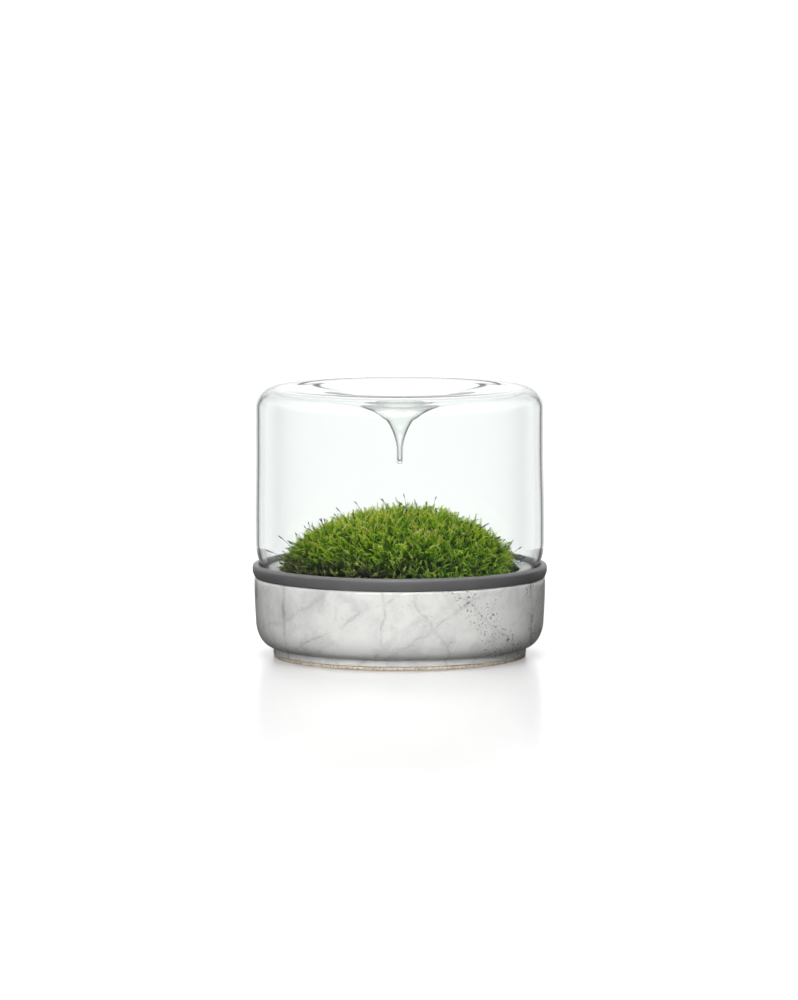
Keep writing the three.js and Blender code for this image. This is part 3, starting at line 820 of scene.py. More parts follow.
def studio_light():
    """The studio: what the glass and the polish mirror is a white backdrop between dark flags, and
    what lights the object is a large soft light above, one in front and one behind."""
    world = bpy.data.worlds.new("studio_light")
    world.use_nodes = True
    tree = world.node_tree
    tree.nodes.clear()
    towards = add_node(tree, "ShaderNodeTexCoord").outputs["Generated"]
    axes = add_node(tree, "ShaderNodeSeparateXYZ", {"Vector": towards}).outputs
    turn = add_node(tree, "ShaderNodeMath", {0: axes["X"], 1: axes["Y"]}, operation="ARCTAN2")
    off = add_node(tree, "ShaderNodeMath", {0: turn, 1: PANEL_TURN}, operation="PINGPONG")
    share_off = add_node(tree, "ShaderNodeMath", {0: off, 1: PANEL_TURN}, operation="DIVIDE")
    wall = add_node(tree, "ShaderNodeFloatCurve", {"Value": share_off})
    curve = wall.mapping.curves[0]
    curve.points[0].location = (0, 1)
    curve.points[-1].location = STUDIO_PANEL[-1]
    for place, level in STUDIO_PANEL[:-1]:
        curve.points.new(place, level)
    for point in curve.points:
        point.handle_type = "AUTO_CLAMPED"
    wall.mapping.update()
    panels = add_node(tree, "ShaderNodeMath", {0: wall, 1: BACKDROP}, operation="MULTIPLY")

    left, up = KEY_LIGHT
    aim = (-math.sin(left) * math.cos(up), -math.cos(left) * math.cos(up), math.sin(up))
    facing = add_node(
        tree, "ShaderNodeVectorMath", {0: towards, 1: aim}, operation="DOT_PRODUCT"
    ).outputs["Value"]
    ways = {"Y": axes["Y"], "Z": axes["Z"], "key": facing}
    above, flags, softbox, front, over, behind = (
        add_node(
            tree,
            "ShaderNodeMapRange",
            {"Value": ways[way], "From Min": start, "From Max": end, "To Min": low, "To Max": high},
            **SMOOTH,
        )
        for way, start, end, low, high in STUDIO_PARTS.values()
    )
    seen_through = add_node(tree, "ShaderNodeMath", {0: panels, 1: above}, operation="MAXIMUM")
    # black flags beside the object and a dark room keep the polish and the front of the glass clear
    shaded = add_node(tree, "ShaderNodeMath", {0: panels, 1: flags}, operation="MULTIPLY")
    # the dark gap, mirrored along the crown's far edge
    from_gap = add_node(tree, "ShaderNodeMath", {0: axes["Z"], 1: GAP_HEIGHT}, operation="SUBTRACT")
    from_gap = add_node(tree, "ShaderNodeMath", {0: from_gap}, operation="ABSOLUTE")
    beside_gap = add_node(
        tree,
        "ShaderNodeMapRange",
        {"Value": from_gap, "From Min": GAP_DARK, "From Max": GAP_EDGE, "To Min": GAP_LEVEL},
        **SMOOTH,
    )
    shaded = add_node(tree, "ShaderNodeMath", {0: shaded, 1: beside_gap}, operation="MULTIPLY")
    shaded = add_node(tree, "ShaderNodeMath", {0: shaded, 1: above}, operation="MAXIMUM")
    lighting = add_node(tree, "ShaderNodeMath", {0: front, 1: over}, operation="ADD")
    lighting = add_node(tree, "ShaderNodeMath", {0: lighting, 1: behind}, operation="ADD")
    mirrored = add_node(tree, "ShaderNodeMath", {0: shaded, 1: softbox}, operation="ADD")
    guided = add_node(tree, "ShaderNodeMath", {0: shaded, 1: GUIDED}, operation="MULTIPLY")

    path = add_node(tree, "ShaderNodeLightPath").outputs
    again = add_node(
        tree,
        "ShaderNodeMath",
        {0: path["Glossy Depth"], 1: 1.0},
        operation="SUBTRACT",
        use_clamp=True,
    )
    reflected, scattered = (
        add_node(tree, "ShaderNodeMath", {0: path[depth], 1: 1.0}, operation="MINIMUM")
        for depth in ("Glossy Depth", "Diffuse Depth")
    )
    mirrored = add_node(
        tree, "ShaderNodeMix", {0: again, 2: mirrored, 3: guided}, data_type="FLOAT"
    )
    brightness = seen_through
    for share, other in (
        (path["Is Camera Ray"], BACKDROP),
        (reflected, mirrored),
        (scattered, lighting),
    ):
        brightness = add_node(
            tree, "ShaderNodeMix", {0: share, 2: brightness, 3: other}, data_type="FLOAT"
        )
    light = add_node(
        tree, "ShaderNodeBackground", {"Color": (1, 1, 1, 1), "Strength": brightness}
    )
    add_node(tree, "ShaderNodeOutputWorld", {"Surface": light})
    return world


# ------------------------------------------------------------------------------------------------
# Outlines
# ------------------------------------------------------------------------------------------------


def bowl_outline():
    """Half the section of the bowl, as [radius, height]: up the outside, down the inside."""
    belly_top = BOWL_BELLY_Z + BOWL_CURVE_H
    rim_corner = (BOWL_WALL_R - BOWL_RIM_EDGE, BOWL_RIM_Z - BOWL_RIM_EDGE)
    wall_z = np.linspace(belly_top, rim_corner[1], 9)[1:-1]
    up = (wall_z - belly_top) / (rim_corner[1] - belly_top)
    wall_r = BOWL_WALL_R - (BOWL_WALL_R - BOWL_BELLY_R - BOWL_CURVE_R) * (1 - up) ** 2
    corner_r = BOWL_INSIDE_R - BOWL_CORNER_R
    lip_r = BOWL_MOUTH_R - BOWL_LIP_R
    edge = BOWL_FOOT_EDGE
    collar = BOWL_COLLAR_EDGE
    collar_r = RING_HOLE_R - CLEARANCE - collar
    lip_edge = (BOWL_LIP_END_R + collar, BOWL_COLLAR_Z - BOWL_COLLAR_FALL - collar)
    return [
        [0, BOWL_FOOT_Z],
        [90, BOWL_FOOT_Z],
        *arc((BOWL_FOOT_R - edge, BOWL_FOOT_Z + edge), (edge, edge), -90, 0, 5),
        [BOWL_FOOT_R, BOWL_BELLY_Z - BOWL_NOTCH],
        [BOWL_FOOT_R + BOWL_NOTCH, BOWL_BELLY_Z],
        *arc((BOWL_BELLY_R, belly_top), (BOWL_CURVE_R, BOWL_CURVE_H), -90, 0, 24),
        *np.column_stack((wall_r, wall_z)).tolist(),
        *arc(rim_corner, (BOWL_RIM_EDGE, BOWL_RIM_EDGE), 0, 90, 6),
        [118, BOWL_RIM_Z],
        [collar_r + collar, BOWL_RIM_Z],
        *arc((collar_r, BOWL_COLLAR_Z - collar), (collar, collar), 0, 90, 7),
        *arc(lip_edge, (collar, collar), 90, 200, 10),
        [lip_r, BOWL_RIM_Z - BOWL_COLLAR_FALL],
        [lip_r, BOWL_RIM_Z - BOWL_LIP_R],
        [(lip_r + BOWL_INSIDE_R) / 2, 48],
        *arc((corner_r, BOWL_INSIDE_Z), (BOWL_CORNER_R, BOWL_CORNER_R), 0, -90, 12),
        [50, BOWL_FLOOR_Z],
        [0, BOWL_FLOOR_Z],
    ]


def ring_outline():
    """The section of the ring, with the step that the glass stands on."""
    seat_r = GLASS_NECK_R + CLEARANCE
    hole, foot = RING_HOLE_EDGE, RING_FOOT_EDGE
    lip = (RING_LIP_R, RING_LIP_H)
    mouth = (RING_R - RING_TOP_W, RING_TOP_Z - RING_MOUTH_H)
    return [
        *arc((RING_HOLE_R + hole, RING_FOOT_Z + hole), (hole, hole), 180, 270, 3),
        *arc((RING_FOOT_R - foot, RING_FOOT_Z + foot), (foot, foot), -90, 0, 6),
        [RING_R, RING_FOOT_Z + RING_LEAN_H],
        *arc((RING_R - lip[0], RING_TOP_Z - lip[1]), lip, 0, 90, 14),
        *arc(mouth, (RING_MOUTH_R, RING_MOUTH_H), 90, 160, 6),
        [seat_r + 0.6, RING_SHELF_Z + 3.6],
        [seat_r, RING_SHELF_Z + 2.6],
        [seat_r, RING_SHELF_Z],
        [RING_HOLE_R, RING_SHELF_Z],
    ]


def crown_underside(radius, wall):
    """The height of the crown's underside: flat at the shoulder, then down the funnel's horn."""
    dip = np.log1p((FUNNEL_R / radius) ** FUNNEL_SOFTNESS) / FUNNEL_SOFTNESS
    return GLASS_TOP_Z - wall - FUNNEL_PITCH * dip


def crown_top(radius, wall):
    """The points one thickness above the crown's underside, square to it. The glass gets thinner
    where the crown was drawn down into the funnel."""
    step = 0.01
    drawn = smoothstep(FUNNEL_THIN_R, FUNNEL_WHOLE_R, radius)
    thickness = FUNNEL_WALL + (wall - FUNNEL_WALL) * drawn
    rise = crown_underside(radius + step, wall) - crown_underside(radius - step, wall)
    slope = rise / (2 * step)
    length = np.hypot(1, slope)
    return np.column_stack(
        (
            radius - thickness * slope / length,
            crown_underside(radius, wall) + thickness / length,
        )
    ).tolist()


def glass_outline(wall):
    """Half the section of the dome: from the bore over the crown and down the outside, then up the
    inside and under the crown to the funnel's solid tip."""
    shoulder = (GLASS_HIGH_R - GLASS_SHOULDER_R, GLASS_TOP_Z - GLASS_SHOULDER_R)
    inside_shoulder = GLASS_SHOULDER_R - wall + SHOULDER_EXTRA
    inside = (shoulder[0] - SHOULDER_EXTRA, shoulder[1] - SHOULDER_EXTRA)
    neck_z = np.linspace(GLASS_BULGE_Z, GLASS_NECK_Z, 16)
    up = (neck_z - GLASS_NECK_Z) / (GLASS_BULGE_Z - GLASS_NECK_Z)
    neck_r = GLASS_NECK_R + (GLASS_LOW_R - GLASS_NECK_R) * (1 - (1 - up) ** 2)
    tip = FUNNEL_TIP_R
    top = crown_top(np.geomspace(FUNNEL_BORE_END_R, CROWN_FLAT_R, 54), wall)
    bore_end = (0, FUNNEL_TIP_Z + FUNNEL_SOLID)
    bore_z = top[0][1]
    under = np.geomspace(CROWN_FLAT_R, FUNNEL_HORN_END_R, 60)
    wall_z = np.linspace(GLASS_BULGE_Z, shoulder[1] - SHOULDER_EXTRA, 18)[1:-1]
    wall_r = GLASS_HIGH_R + (GLASS_LOW_R - GLASS_HIGH_R) * (
        1 - smoothstep(GLASS_BULGE_Z + 20, GLASS_HIGH_Z + 20, wall_z)
    )
    rim = wall / 2
    return [
        *arc(bore_end, (FUNNEL_BORE_R, 2 * FUNNEL_BORE_R), -90, 0, 6),
        [FUNNEL_BORE_R + 0.1, bore_z - 3],
        *top,
        *arc(shoulder, (GLASS_SHOULDER_R, GLASS_SHOULDER_R), 90, 0, 18),
        *np.column_stack((wall_r, wall_z)).tolist()[::-1],
        *np.column_stack((neck_r, neck_z)).tolist(),
        *arc((GLASS_NECK_R - rim, GLASS_RIM_Z + rim), (rim, rim), 0, -180, 10),
        *np.column_stack((neck_r - wall, neck_z)).tolist()[::-1],
        *np.column_stack((wall_r - wall, wall_z)).tolist(),
        *arc(inside, (inside_shoulder, inside_shoulder), 0, 90, 16),
        *np.column_stack((under, crown_underside(under, wall))).tolist(),
        [tip + 0.05, crown_underside(tip, wall)],
        [tip - 0.12, FUNNEL_WAIST_Z],
        *arc((0, FUNNEL_TIP_Z + tip), (tip, tip), 0, -90, 9),
    ]


def soil_height(radius):
    """The height of the soil, which is mounded under the moss and steps down at the wall."""
    outside = smoothstep(SOIL_STEP_R, BOWL_INSIDE_R, radius)
    mound = np.maximum(0, 1 - (radius / SOIL_MOUND_R) ** 2) ** 1.5
    return SOIL_EDGE_Z + SOIL_STEP * (1 - outside) + SOIL_MOUND_H * mound


# ------------------------------------------------------------------------------------------------
# Moss
# ------------------------------------------------------------------------------------------------


def hummock(x, y):
    """The rise and fall of the mound."""
    broad = np.sin(x / 17 + 0.6) * np.cos(y / 15 - 0.9)
    narrow = np.sin(x / 8.5 - y / 11 + 2.1) * np.cos(y / 7.5 + x / 14)
    return HUMMOCK_BROAD * broad + HUMMOCK_NARROW * narrow


def mound_points(flat):
    """The points of the dense mound under points of the flattened mound."""
    still = np.minimum(1, (flat**2).sum(1))
    u = flat[:, 0] + MOSS_WANDER * np.sin(7 * flat[:, 1] + 0.8) * (1 - still)
    v = flat[:, 1] + MOSS_WANDER * np.sin(6.2 * flat[:, 0] - 0.5) * (1 - still)
    share = np.maximum(np.hypot(u, v), 1e-9)
    turn = np.minimum(share, 1) * MOSS_LAST_TURN * np.pi / 2
    across = MOSS_R * np.sin(turn) ** MOSS_ROUNDNESS / share
    x, y = u * across, v * across
    z = MOSS_FOOT_Z + MOSS_H * np.cos(turn) ** MOSS_FLATNESS
    z += hummock(x, y) * np.cos(turn) ** 0.5
    return np.column_stack((x, y, z))


def mound_normals(points):
    """Directions out of the mound at the points."""
    radius = np.hypot(points[:, 0], points[:, 1])
    out = np.minimum(1, radius / MOSS_R) ** 2 / np.maximum(radius, 1e-6)
    level = np.maximum(0.05, (points[:, 2] - MOSS_FOOT_Z) / MOSS_H)
    normals = np.column_stack((points[:, 0] * out, points[:, 1] * out, level))
    return normals / np.linalg.norm(normals, axis=1, keepdims=True)


def cushion_reach(order, angles):
    """How far a cushion reaches from its centre in each direction of the flattened mound."""
    _, _, u, v, _ = CUSHIONS[order]
    x, y = np.cos(angles), np.sin(angles)
    along = u * x + v * y
    reach = np.sqrt(along**2 - (u * u + v * v - 1)) - along
    for other, (_, _, other_u, other_v, _) in enumerate(CUSHIONS):
        if other == order:
            continue
        span = math.hypot(other_u - u, other_v - v)
        towards = (x * (other_u - u) + y * (other_v - v)) / span
        limit = (span / 2 - MOSS_CLEFT) / np.maximum(towards, 1e-3)
        reach = np.where(towards > 1e-3, np.minimum(reach, limit), reach)
    return reach


def moss_colours(points, colours, random):
    """The colour of a shoot standing at each point: bright on the upper left and the crest, deeper
    on the right and at the foot, and olive-brown low at the front left."""
    x, y, z = points.T
    noise = ripple(points, 26, 5)
    fine = ripple(points, 9, 6)
    bright, deep, old = (
        np.array(tuple(c)) for c in (colours.moss_bright, colours.moss_deep, colours.moss_old)
    )
    leftness = smoothstep(38, -30, x + 12 * noise)
    height = smoothstep(84, 104, z + 6 * noise + 3 * fine)
    share_bright = np.clip(height * (0.3 + 0.7 * leftness) + 0.2 * fine, 0, 1)
    right_patch = smoothstep(40, 12, np.linalg.norm(points - (82, -42, 92), axis=1))
    share_bright = np.maximum(share_bright, 0.75 * right_patch)
    low = smoothstep(93, 78, z + 5 * noise + 4 * fine)
    side = smoothstep(30, -25, x + 15 * noise) * smoothstep(20, -20, y)
    share_old = low * np.maximum(side, 0.35 * smoothstep(0, 0.6, noise))
    mixed = deep + (bright - deep) * share_bright[:, None]
    mixed = mixed + (old - mixed) * share_old[:, None]
    # painted shade in the sunk hollows and painted light on the raised clumps: the same ripple
    # sinks the shoots' feet in grown_shoots
    painted_hollow_shade = 1.2 + 0.7 * ripple(points, 5, 9)
    mixed *= (painted_hollow_shade * np.exp(random.normal(0, 0.5, len(points))))[:, None]
    # new growth, pale and bright, on the crest and the upper right, brightened past its own colour
    # as a painted highlight
    likely = GROWTH_SHARE * smoothstep(84, 106, z + 0.12 * x)
    new = random.uniform(0, 1, len(points)) < likely
    return np.where(new[:, None], mixed * GROWTH_AND_HIGHLIGHT, mixed)


def leafy_shoot(random, sizes):
    """One moss shoot standing on the origin: points, triangles, and for each point its share of the
    way up and its tone. Each leaf is a thin keeled body."""
    bend = random.uniform(1.5, 6.0)
    wave = random.uniform(-0.8, 0.8)
    leaf_length = sizes.leaf_length / MM
    leaf_width = sizes.leaf_width / MM
    leaves = int(random.integers(26, 32))

    def stem_at(t):
        sink = 0.5 * bend**2 / STEM * t**3
        return np.array((bend * t * t, wave * math.sin(5 * t), STEM * t - sink))

    points, triangles, shares, tones = [], [], [], []
    golden = math.pi * (3 - math.sqrt(5))
    for i in range(leaves):
        t = 0.2 + 0.8 * (i / (leaves - 1)) ** 0.9
        around = golden * i + random.uniform(-0.3, 0.3)
        open_angle = math.radians(58 - 36 * t**2 + random.uniform(-10, 10))
        length = leaf_length * (1.15 - 0.6 * t**3) * random.uniform(0.8, 1.2)
        width = leaf_width * random.uniform(0.85, 1.2)
        out = np.array((math.cos(around), math.sin(around), 0))
        side = np.array((-math.sin(around), math.cos(around), 0))
        along = out * math.sin(open_angle) + np.array((0, 0, math.cos(open_angle)))
        lift = np.cross(along, side)
        lift *= math.copysign(1, lift[2])
        root = stem_at(t)
        middle = root + along * length * 0.42 + lift * 0.12
        tip = root + along * length + out * 0.12 * length
        first = len(points)
        points += [root, middle + side * width / 2, middle - side * width / 2, tip]
        triangles += [
            (first, first + 1, first + 3),
            (first, first + 3, first + 2),
            (first, first + 2, first + 1),
            (first + 1, first + 2, first + 3),
        ]
        # each leaf is painted darker at its root, as shade where it crowds the stem, and slightly
        # paler at its tip
        tone = random.uniform(0.6, 1.35)
        shares += [t, t + 0.05, t + 0.05, t + 0.14]
        tones += [tone * 0.7, tone, tone, tone * 1.12]
    first = len(points)
    for t, radius in ((0.0, 0.2), (0.5, 0.17), (0.96, 0.08)):
        centre = stem_at(t)
        for k in range(3):
            angle = math.tau * k / 3
            points.append(centre + radius * np.array((math.cos(angle), math.sin(angle), 0)))
            shares.append(t)
            tones.append(0.8)
    for ring in range(2):
        for k in range(3):
            a, b = first + 3 * ring + k, first + 3 * ring + (k + 1) % 3
            triangles += [(a, b, b + 3), (a, b + 3, a + 3)]
    triangles += [(first, first + 2, first + 1), (first + 6, first + 7, first + 8)]
    return np.array(points), np.array(triangles), np.array(shares), np.array(tones)


def frames_along(directions, twists):
    """Rotation matrices that carry +Z to each direction, after a twist about +Z."""
    helper = np.where(np.abs(directions[:, 2:]) < 0.9, (0.0, 0.0, 1.0), (1.0, 0.0, 0.0))
    side = np.cross(helper, directions)
    side /= np.linalg.norm(side, axis=1, keepdims=True)
    other = np.cross(directions, side)
    c, s = np.cos(twists)[:, None], np.sin(twists)[:, None]
    return np.stack((c * side + s * other, c * other - s * side, directions), axis=2)


def scattered_shoots(sizes):
    """Feet of the shoots all over the mound, in mm, with the cushion that each belongs to."""
    random = np.random.default_rng(40)
    turn = random.uniform(0, math.tau, SHOOTS_TRIED)
    share = np.sqrt(random.uniform(0, 1, SHOOTS_TRIED))
    flat = np.column_stack((share * np.cos(turn), share * np.sin(turn)))
    points = mound_points(flat)
    step = 1e-3
    across = mound_points(flat + (step, 0)) - points
    along = mound_points(flat + (0, step)) - points
    area = np.linalg.norm(np.cross(across, along), axis=1) / step**2
    clumps = 0.12 + 0.88 * smoothstep(-0.3, 0.3, ripple(points, 4.2, 41))
    kept = random.uniform(0, np.percentile(area, 97), len(area)) < area * clumps
    flat, points = flat[kept], points[kept]
    taken = spaced(points, sizes.shoot_spacing / MM, SHOOTS_MOST)
    flat, points = flat[taken], points[taken]
    centres = np.array([(u, v) for _, _, u, v, _ in CUSHIONS])
    away = np.linalg.norm(flat[:, None] - centres, axis=2)
    return points, away.argmin(1)


def lean(points):
    """How the shoots lean together, as if brushed, over the mound."""
    x, y, _ = points.T
    return np.column_stack(
        (
            np.sin(y / 19 + 1.3) + 0.5 * np.sin(x / 9),
            np.cos(x / 23 - 0.4) + 0.5 * np.sin(y / 10 + 2),
            0.5 * np.sin((x + y) / 21),
        )
    )


def grown_shoots(feet, templates, sizes, colours, random):
    """Shoots standing on the feet, as one mesh, with the colour of each point."""
    swirl = np.column_stack([ripple(feet, 6, seed) for seed in (43, 44, 45)])
    directions = mound_normals(feet) + 0.2 * lean(feet) + 0.55 * swirl + (0, 0, 0.35)
    directions += random.normal(0, 0.42, directions.shape)
    directions[:, 2] = np.maximum(directions[:, 2], 0.1)
    directions /= np.linalg.norm(directions, axis=1, keepdims=True)
    lengths = sizes.shoot_length / MM * random.uniform(0.6, 1.2, len(feet))
    tall = random.uniform(0, 1, len(feet)) < 0.05
    lengths[tall] *= 1.25
    # the lowest shoots on the right are short
    lengths *= 1 - 0.45 * smoothstep(84, 95, feet[:, 0]) * smoothstep(84, 72, feet[:, 2])
    depth = SHOOT_SINK - SHOOT_SINK_SPREAD * ripple(feet, 5, 9)
    sunk = mound_normals(feet) * depth[:, None]
    frames = frames_along(directions, random.uniform(0, math.tau, len(feet)))
    tints = moss_colours(feet, colours, random)
    kinds = random.integers(0, len(templates), len(feet))
    parts, shades = [], []
    for kind, (points, triangles, shares, tones) in enumerate(templates):
        mine = np.flatnonzero(kinds == kind)
        scale = (lengths[mine] / STEM)[:, None, None]
        placed = np.einsum("nij,mj->nmi", frames[mine], points) * scale
        placed += (feet[mine] - sunk[mine])[:, None]
        first = np.arange(len(mine)) * len(points)
        faces = (triangles[None] + first[:, None, None]).reshape(-1, 3)
        parts.append((placed.reshape(-1, 3), [faces]))
        # darker towards the shoot's foot and brighter at its tip: partly older growth low on the
        # stem, partly painted shade deep in the moss and painted light on the tips
        rise = (0.115 + 1.2 * np.clip(shares, 0, 1.1) ** 1.9) * tones
        tint = tints[mine][:, None] * rise[None, :, None]
        yellower = np.clip(shares - 0.82, 0, 0.3)[None, :, None] * np.array((1.0, 0.9, 0.5))
        shades.append((tint * (1 + yellower)).reshape(-1, 3))
    points, groups = joined(parts)
    return points, groups, np.concatenate(shades)


def cushion_body(order, colours):
    """The dense part of a cushion, closed under and at its sides, with the colour of each point:
    the moss colour darkened as painted shade, and darker still under and at its sides.
    """
    _, _, u, v, _ = CUSHIONS[order]
    angles = np.linspace(0, math.tau, 120, endpoint=False)
    reach = cushion_reach(order, angles)
    rim = np.column_stack((np.cos(angles), np.sin(angles))) * reach[:, None]
    centre = np.array(((u, v),))

    def ring_at(share):
        return mound_points(centre + rim * share if share > 0 else centre)

    def seat_at(share):
        ring = ring_at(share)
        radius = np.hypot(ring[:, 0], ring[:, 1])
        ring[:, 2] = soil_height(radius) + MOSS_SEAT
        return ring

    rows = [ring_at(0)]
    for share in np.linspace(0, 1, 31)[1:]:
        ring = ring_at(share)
        rough = ripple(ring, 4.2, 41) + 0.5 * ripple(ring, 1.6, 8) - BODY_SINK
        settle = min(1.0, 6 * (1 - share))
        rows.append(ring + mound_normals(ring) * rough[:, None] * settle)
    tops = sum(len(row) for row in rows)
    rows += [seat_at(share) for share in (1, 0.9, 0.75, 0.55, 0.3, 0)]
    points, groups = skinned(rows)
    random = np.random.default_rng(60 + order)
    # painted shade: the body is the moss colour darkened, as the shade deep between the shoots
    shade = moss_colours(points, colours, random) * BODY_PAINTED_SHADE
    # more painted shade under the cushion and at its sides, where it meets the soil
    shade[tops:] *= 0.7
    return points, groups, shade


# Spore stalks that stand out of the mound's outline: foot on the mound, then the tip, in mm.
STALKS = (
    ((-92, -22, 78), (-112.5, -30, 93)),
    ((-88, -10, 84), (-103, -14, 103.5)),
    ((-66, -14, 100), (-78.5, -18, 110)),
    ((-60, -30, 98), (-66.5, -36, 121)),
    ((-50, 0, 110), (-56, -2, 121)),
    ((-42, -24, 108), (-54, -28, 129)),
    ((-30, -10, 116), (-38.5, -12, 132.5)),
    ((-6, -12, 119), (-16.5, -14, 135)),
    ((-12, 8, 120), (-10, 6, 129)),
    ((4, -4, 119), (3, -2, 138)),
    ((10, -14, 118), (-1, -18, 132.5)),
    ((22, 4, 117), (26.5, 6, 126.5)),
    ((30, -6, 115), (30, -8, 126.5)),
    ((42, 10, 110), (43, 12, 119)),
    ((48, -12, 107), (53, -14, 115.5)),
    ((56, 4, 103), (62, 6, 113)),
    ((64, -6, 98), (66.5, -6, 111)),
    ((70, 6, 96), (72, 8, 106)),
    ((76, -8, 91), (84, -10, 102)),
    ((84, 2, 85), (90, 4, 92.5)),
)


def spore_stalk(foot, tip, sizes, random):
    """A curved stalk with a capsule at its end, with the colour share of each point."""
    foot, tip = np.asarray(foot, float), np.asarray(tip, float)
    way = tip - foot
    length = np.linalg.norm(way)
    sag = np.cross(way, (0, 0, 1.0))
    if np.linalg.norm(sag) < 1e-3:
        sag = np.array((1.0, 0.0, 0.0))
    sag /= np.linalg.norm(sag)
    bow = np.array((way[0], way[1], 0)) * -0.22 + sag * random.uniform(-0.1, 0.1) * length
    radius = sizes.stalk_width / MM / 2
    start = foot - way * 0.25
    rows = []
    profile = [(t, radius * (1.15 - 0.3 * t)) for t in np.linspace(0, 0.84, 9)]
    profile += [(0.88, 1.7 * radius), (0.92, 2.4 * radius), (0.96, 2.3 * radius)]
    profile += [(0.99, 1.3 * radius)]
    angles = np.linspace(0, math.tau, 6, endpoint=False)

    def centre_at(t):
        return start + (tip - start) * t + bow * 4 * t * (1 - t)

    rows.append(centre_at(0)[None])
    for t, r in profile:
        centre = centre_at(t)
        heading = centre_at(t + 0.01) - centre_at(t - 0.01)
        heading /= np.linalg.norm(heading)
        frame_at = frames_along(heading[None], np.zeros(1))[0]
        circle = np.column_stack((np.cos(angles), np.sin(angles), np.zeros(6))) * r
        rows.append(circle @ frame_at.T + centre)
    rows.append(centre_at(1.0)[None])
    points, groups = skinned(rows)
    shares = np.concatenate(
        [np.full(len(row), share) for row, share in zip(rows, [0] + [t for t, _ in profile] + [1])]
    )
    return points, groups, shares


def stalks_of(order, sizes, colours, random):
    """The spore stalks of a cushion: those of the outline that stand on it, and some at random."""
    parts, shades = [], []
    centres = np.array([(u, v) for _, _, u, v, _ in CUSHIONS])
    plain = np.array(tuple(colours.stalks))
    feet = []
    for foot, tip in STALKS:
        flat = np.array(foot[:2]) / MOSS_R
        if np.linalg.norm(centres - flat, axis=1).argmin() == order:
            feet.append((foot, tip))
    for _ in range(STALKS_AT_RANDOM):
        angle = random.uniform(0, math.tau)
        reach = cushion_reach(order, np.array((angle,)))[0] * random.uniform(0.2, 0.85)
        _, _, u, v, _ = CUSHIONS[order]
        flat = np.array(((u + reach * math.cos(angle), v + reach * math.sin(angle)),))
        foot = mound_points(flat)
        up = mound_normals(foot)[0] + (0, 0, 0.6) + random.normal(0, 0.22, 3)
        up /= np.linalg.norm(up)
        feet.append((foot[0], foot[0] + up * random.uniform(11, 18)))
    for foot, tip in feet:
        points, groups, shares = spore_stalk(foot, tip, sizes, random)
        parts.append((points, groups))
        tone = random.uniform(0.7, 1.3) * (1.15 - 0.75 * smoothstep(0.84, 0.9, shares))
        shades.append(plain * tone[:, None])
    points, groups = joined(parts)
    return points, groups, np.concatenate(shades)


# ------------------------------------------------------------------------------------------------
# Operators
# ------------------------------------------------------------------------------------------------


class TERRARIUM_OT_foot_pad(bpy.types.Operator):
    """Adds the cork disc under the stone"""

    bl_idname = "terrarium.foot_pad"
    bl_label = "Foot Pad"

    def execute(self, context):
        colours = context.scene.terrarium_colours
        edge = (PAD_EDGE, PAD_EDGE)
        outline = [
            [0, 0],
            *arc((PAD_R - PAD_EDGE, PAD_EDGE), edge, -90, 0, 3),
            *arc((PAD_R - PAD_EDGE, PAD_H - PAD_EDGE), edge, 0, 90, 3),
            [0, PAD_H],
        ]
        points, groups = turned(outline, 256)
        material = pressed_cork(colours)
        add_piece("cork_disc", points, groups, material, "foot_pad", crease=40)
        return {"FINISHED"}


class TERRARIUM_OT_marble_bowl(bpy.types.Operator):
    """Adds the polished marble bowl"""

    bl_idname = "terrarium.marble_bowl"
    bl_label = "Marble Bowl"

    def execute(self, context):
        colours = context.scene.terrarium_colours
        points, groups = turned(bowl_outline(), 288)
        material = polished_marble(colours)
        add_piece("marble_bowl", points, groups, material, "marble_base", crease=32)
        return {"FINISHED"}


class TERRARIUM_OT_seal_ring(bpy.types.Operator):
    """Adds the silicone ring between the stone and the glass"""

    bl_idname = "terrarium.seal_ring"
    bl_label = "Seal Ring"

    def execute(self, context):
        colours = context.scene.terrarium_colours
        points, groups = turned(ring_outline(), 288, closed=True)
        material = moulded_silicone(colours)
        add_piece("silicone_ring", points, groups, material, "seal_ring", crease=32)
        return {"FINISHED"}


class TERRARIUM_OT_glass_dome(bpy.types.Operator):
    """Adds the blown dome with its drip funnel"""

    bl_idname = "terrarium.glass_dome"
    bl_label = "Glass Dome"

    def execute(self, context):
        sizes = context.scene.terrarium_sizes
        colours = context.scene.terrarium_colours
        points, groups = turned(glass_outline(sizes.glass_wall / MM), 256)
        # blown glass is never quite round
        radius = np.hypot(points[:, 0], points[:, 1])
        angle = np.arctan2(points[:, 1], points[:, 0])
        wave = np.sin(3 * angle + points[:, 2] / 40) + 0.6 * np.sin(5 * angle - points[:, 2] / 25)
        reach = smoothstep(30, 100, radius) * sizes.glass_waviness / MM
        points[:, :2] *= (1 + wave * reach / np.maximum(radius, 1))[:, None]
        material = blown_glass(colours)
        add_piece("blown_dome", points, groups, material, "glass_dome", crease=60)
        return {"FINISHED"}


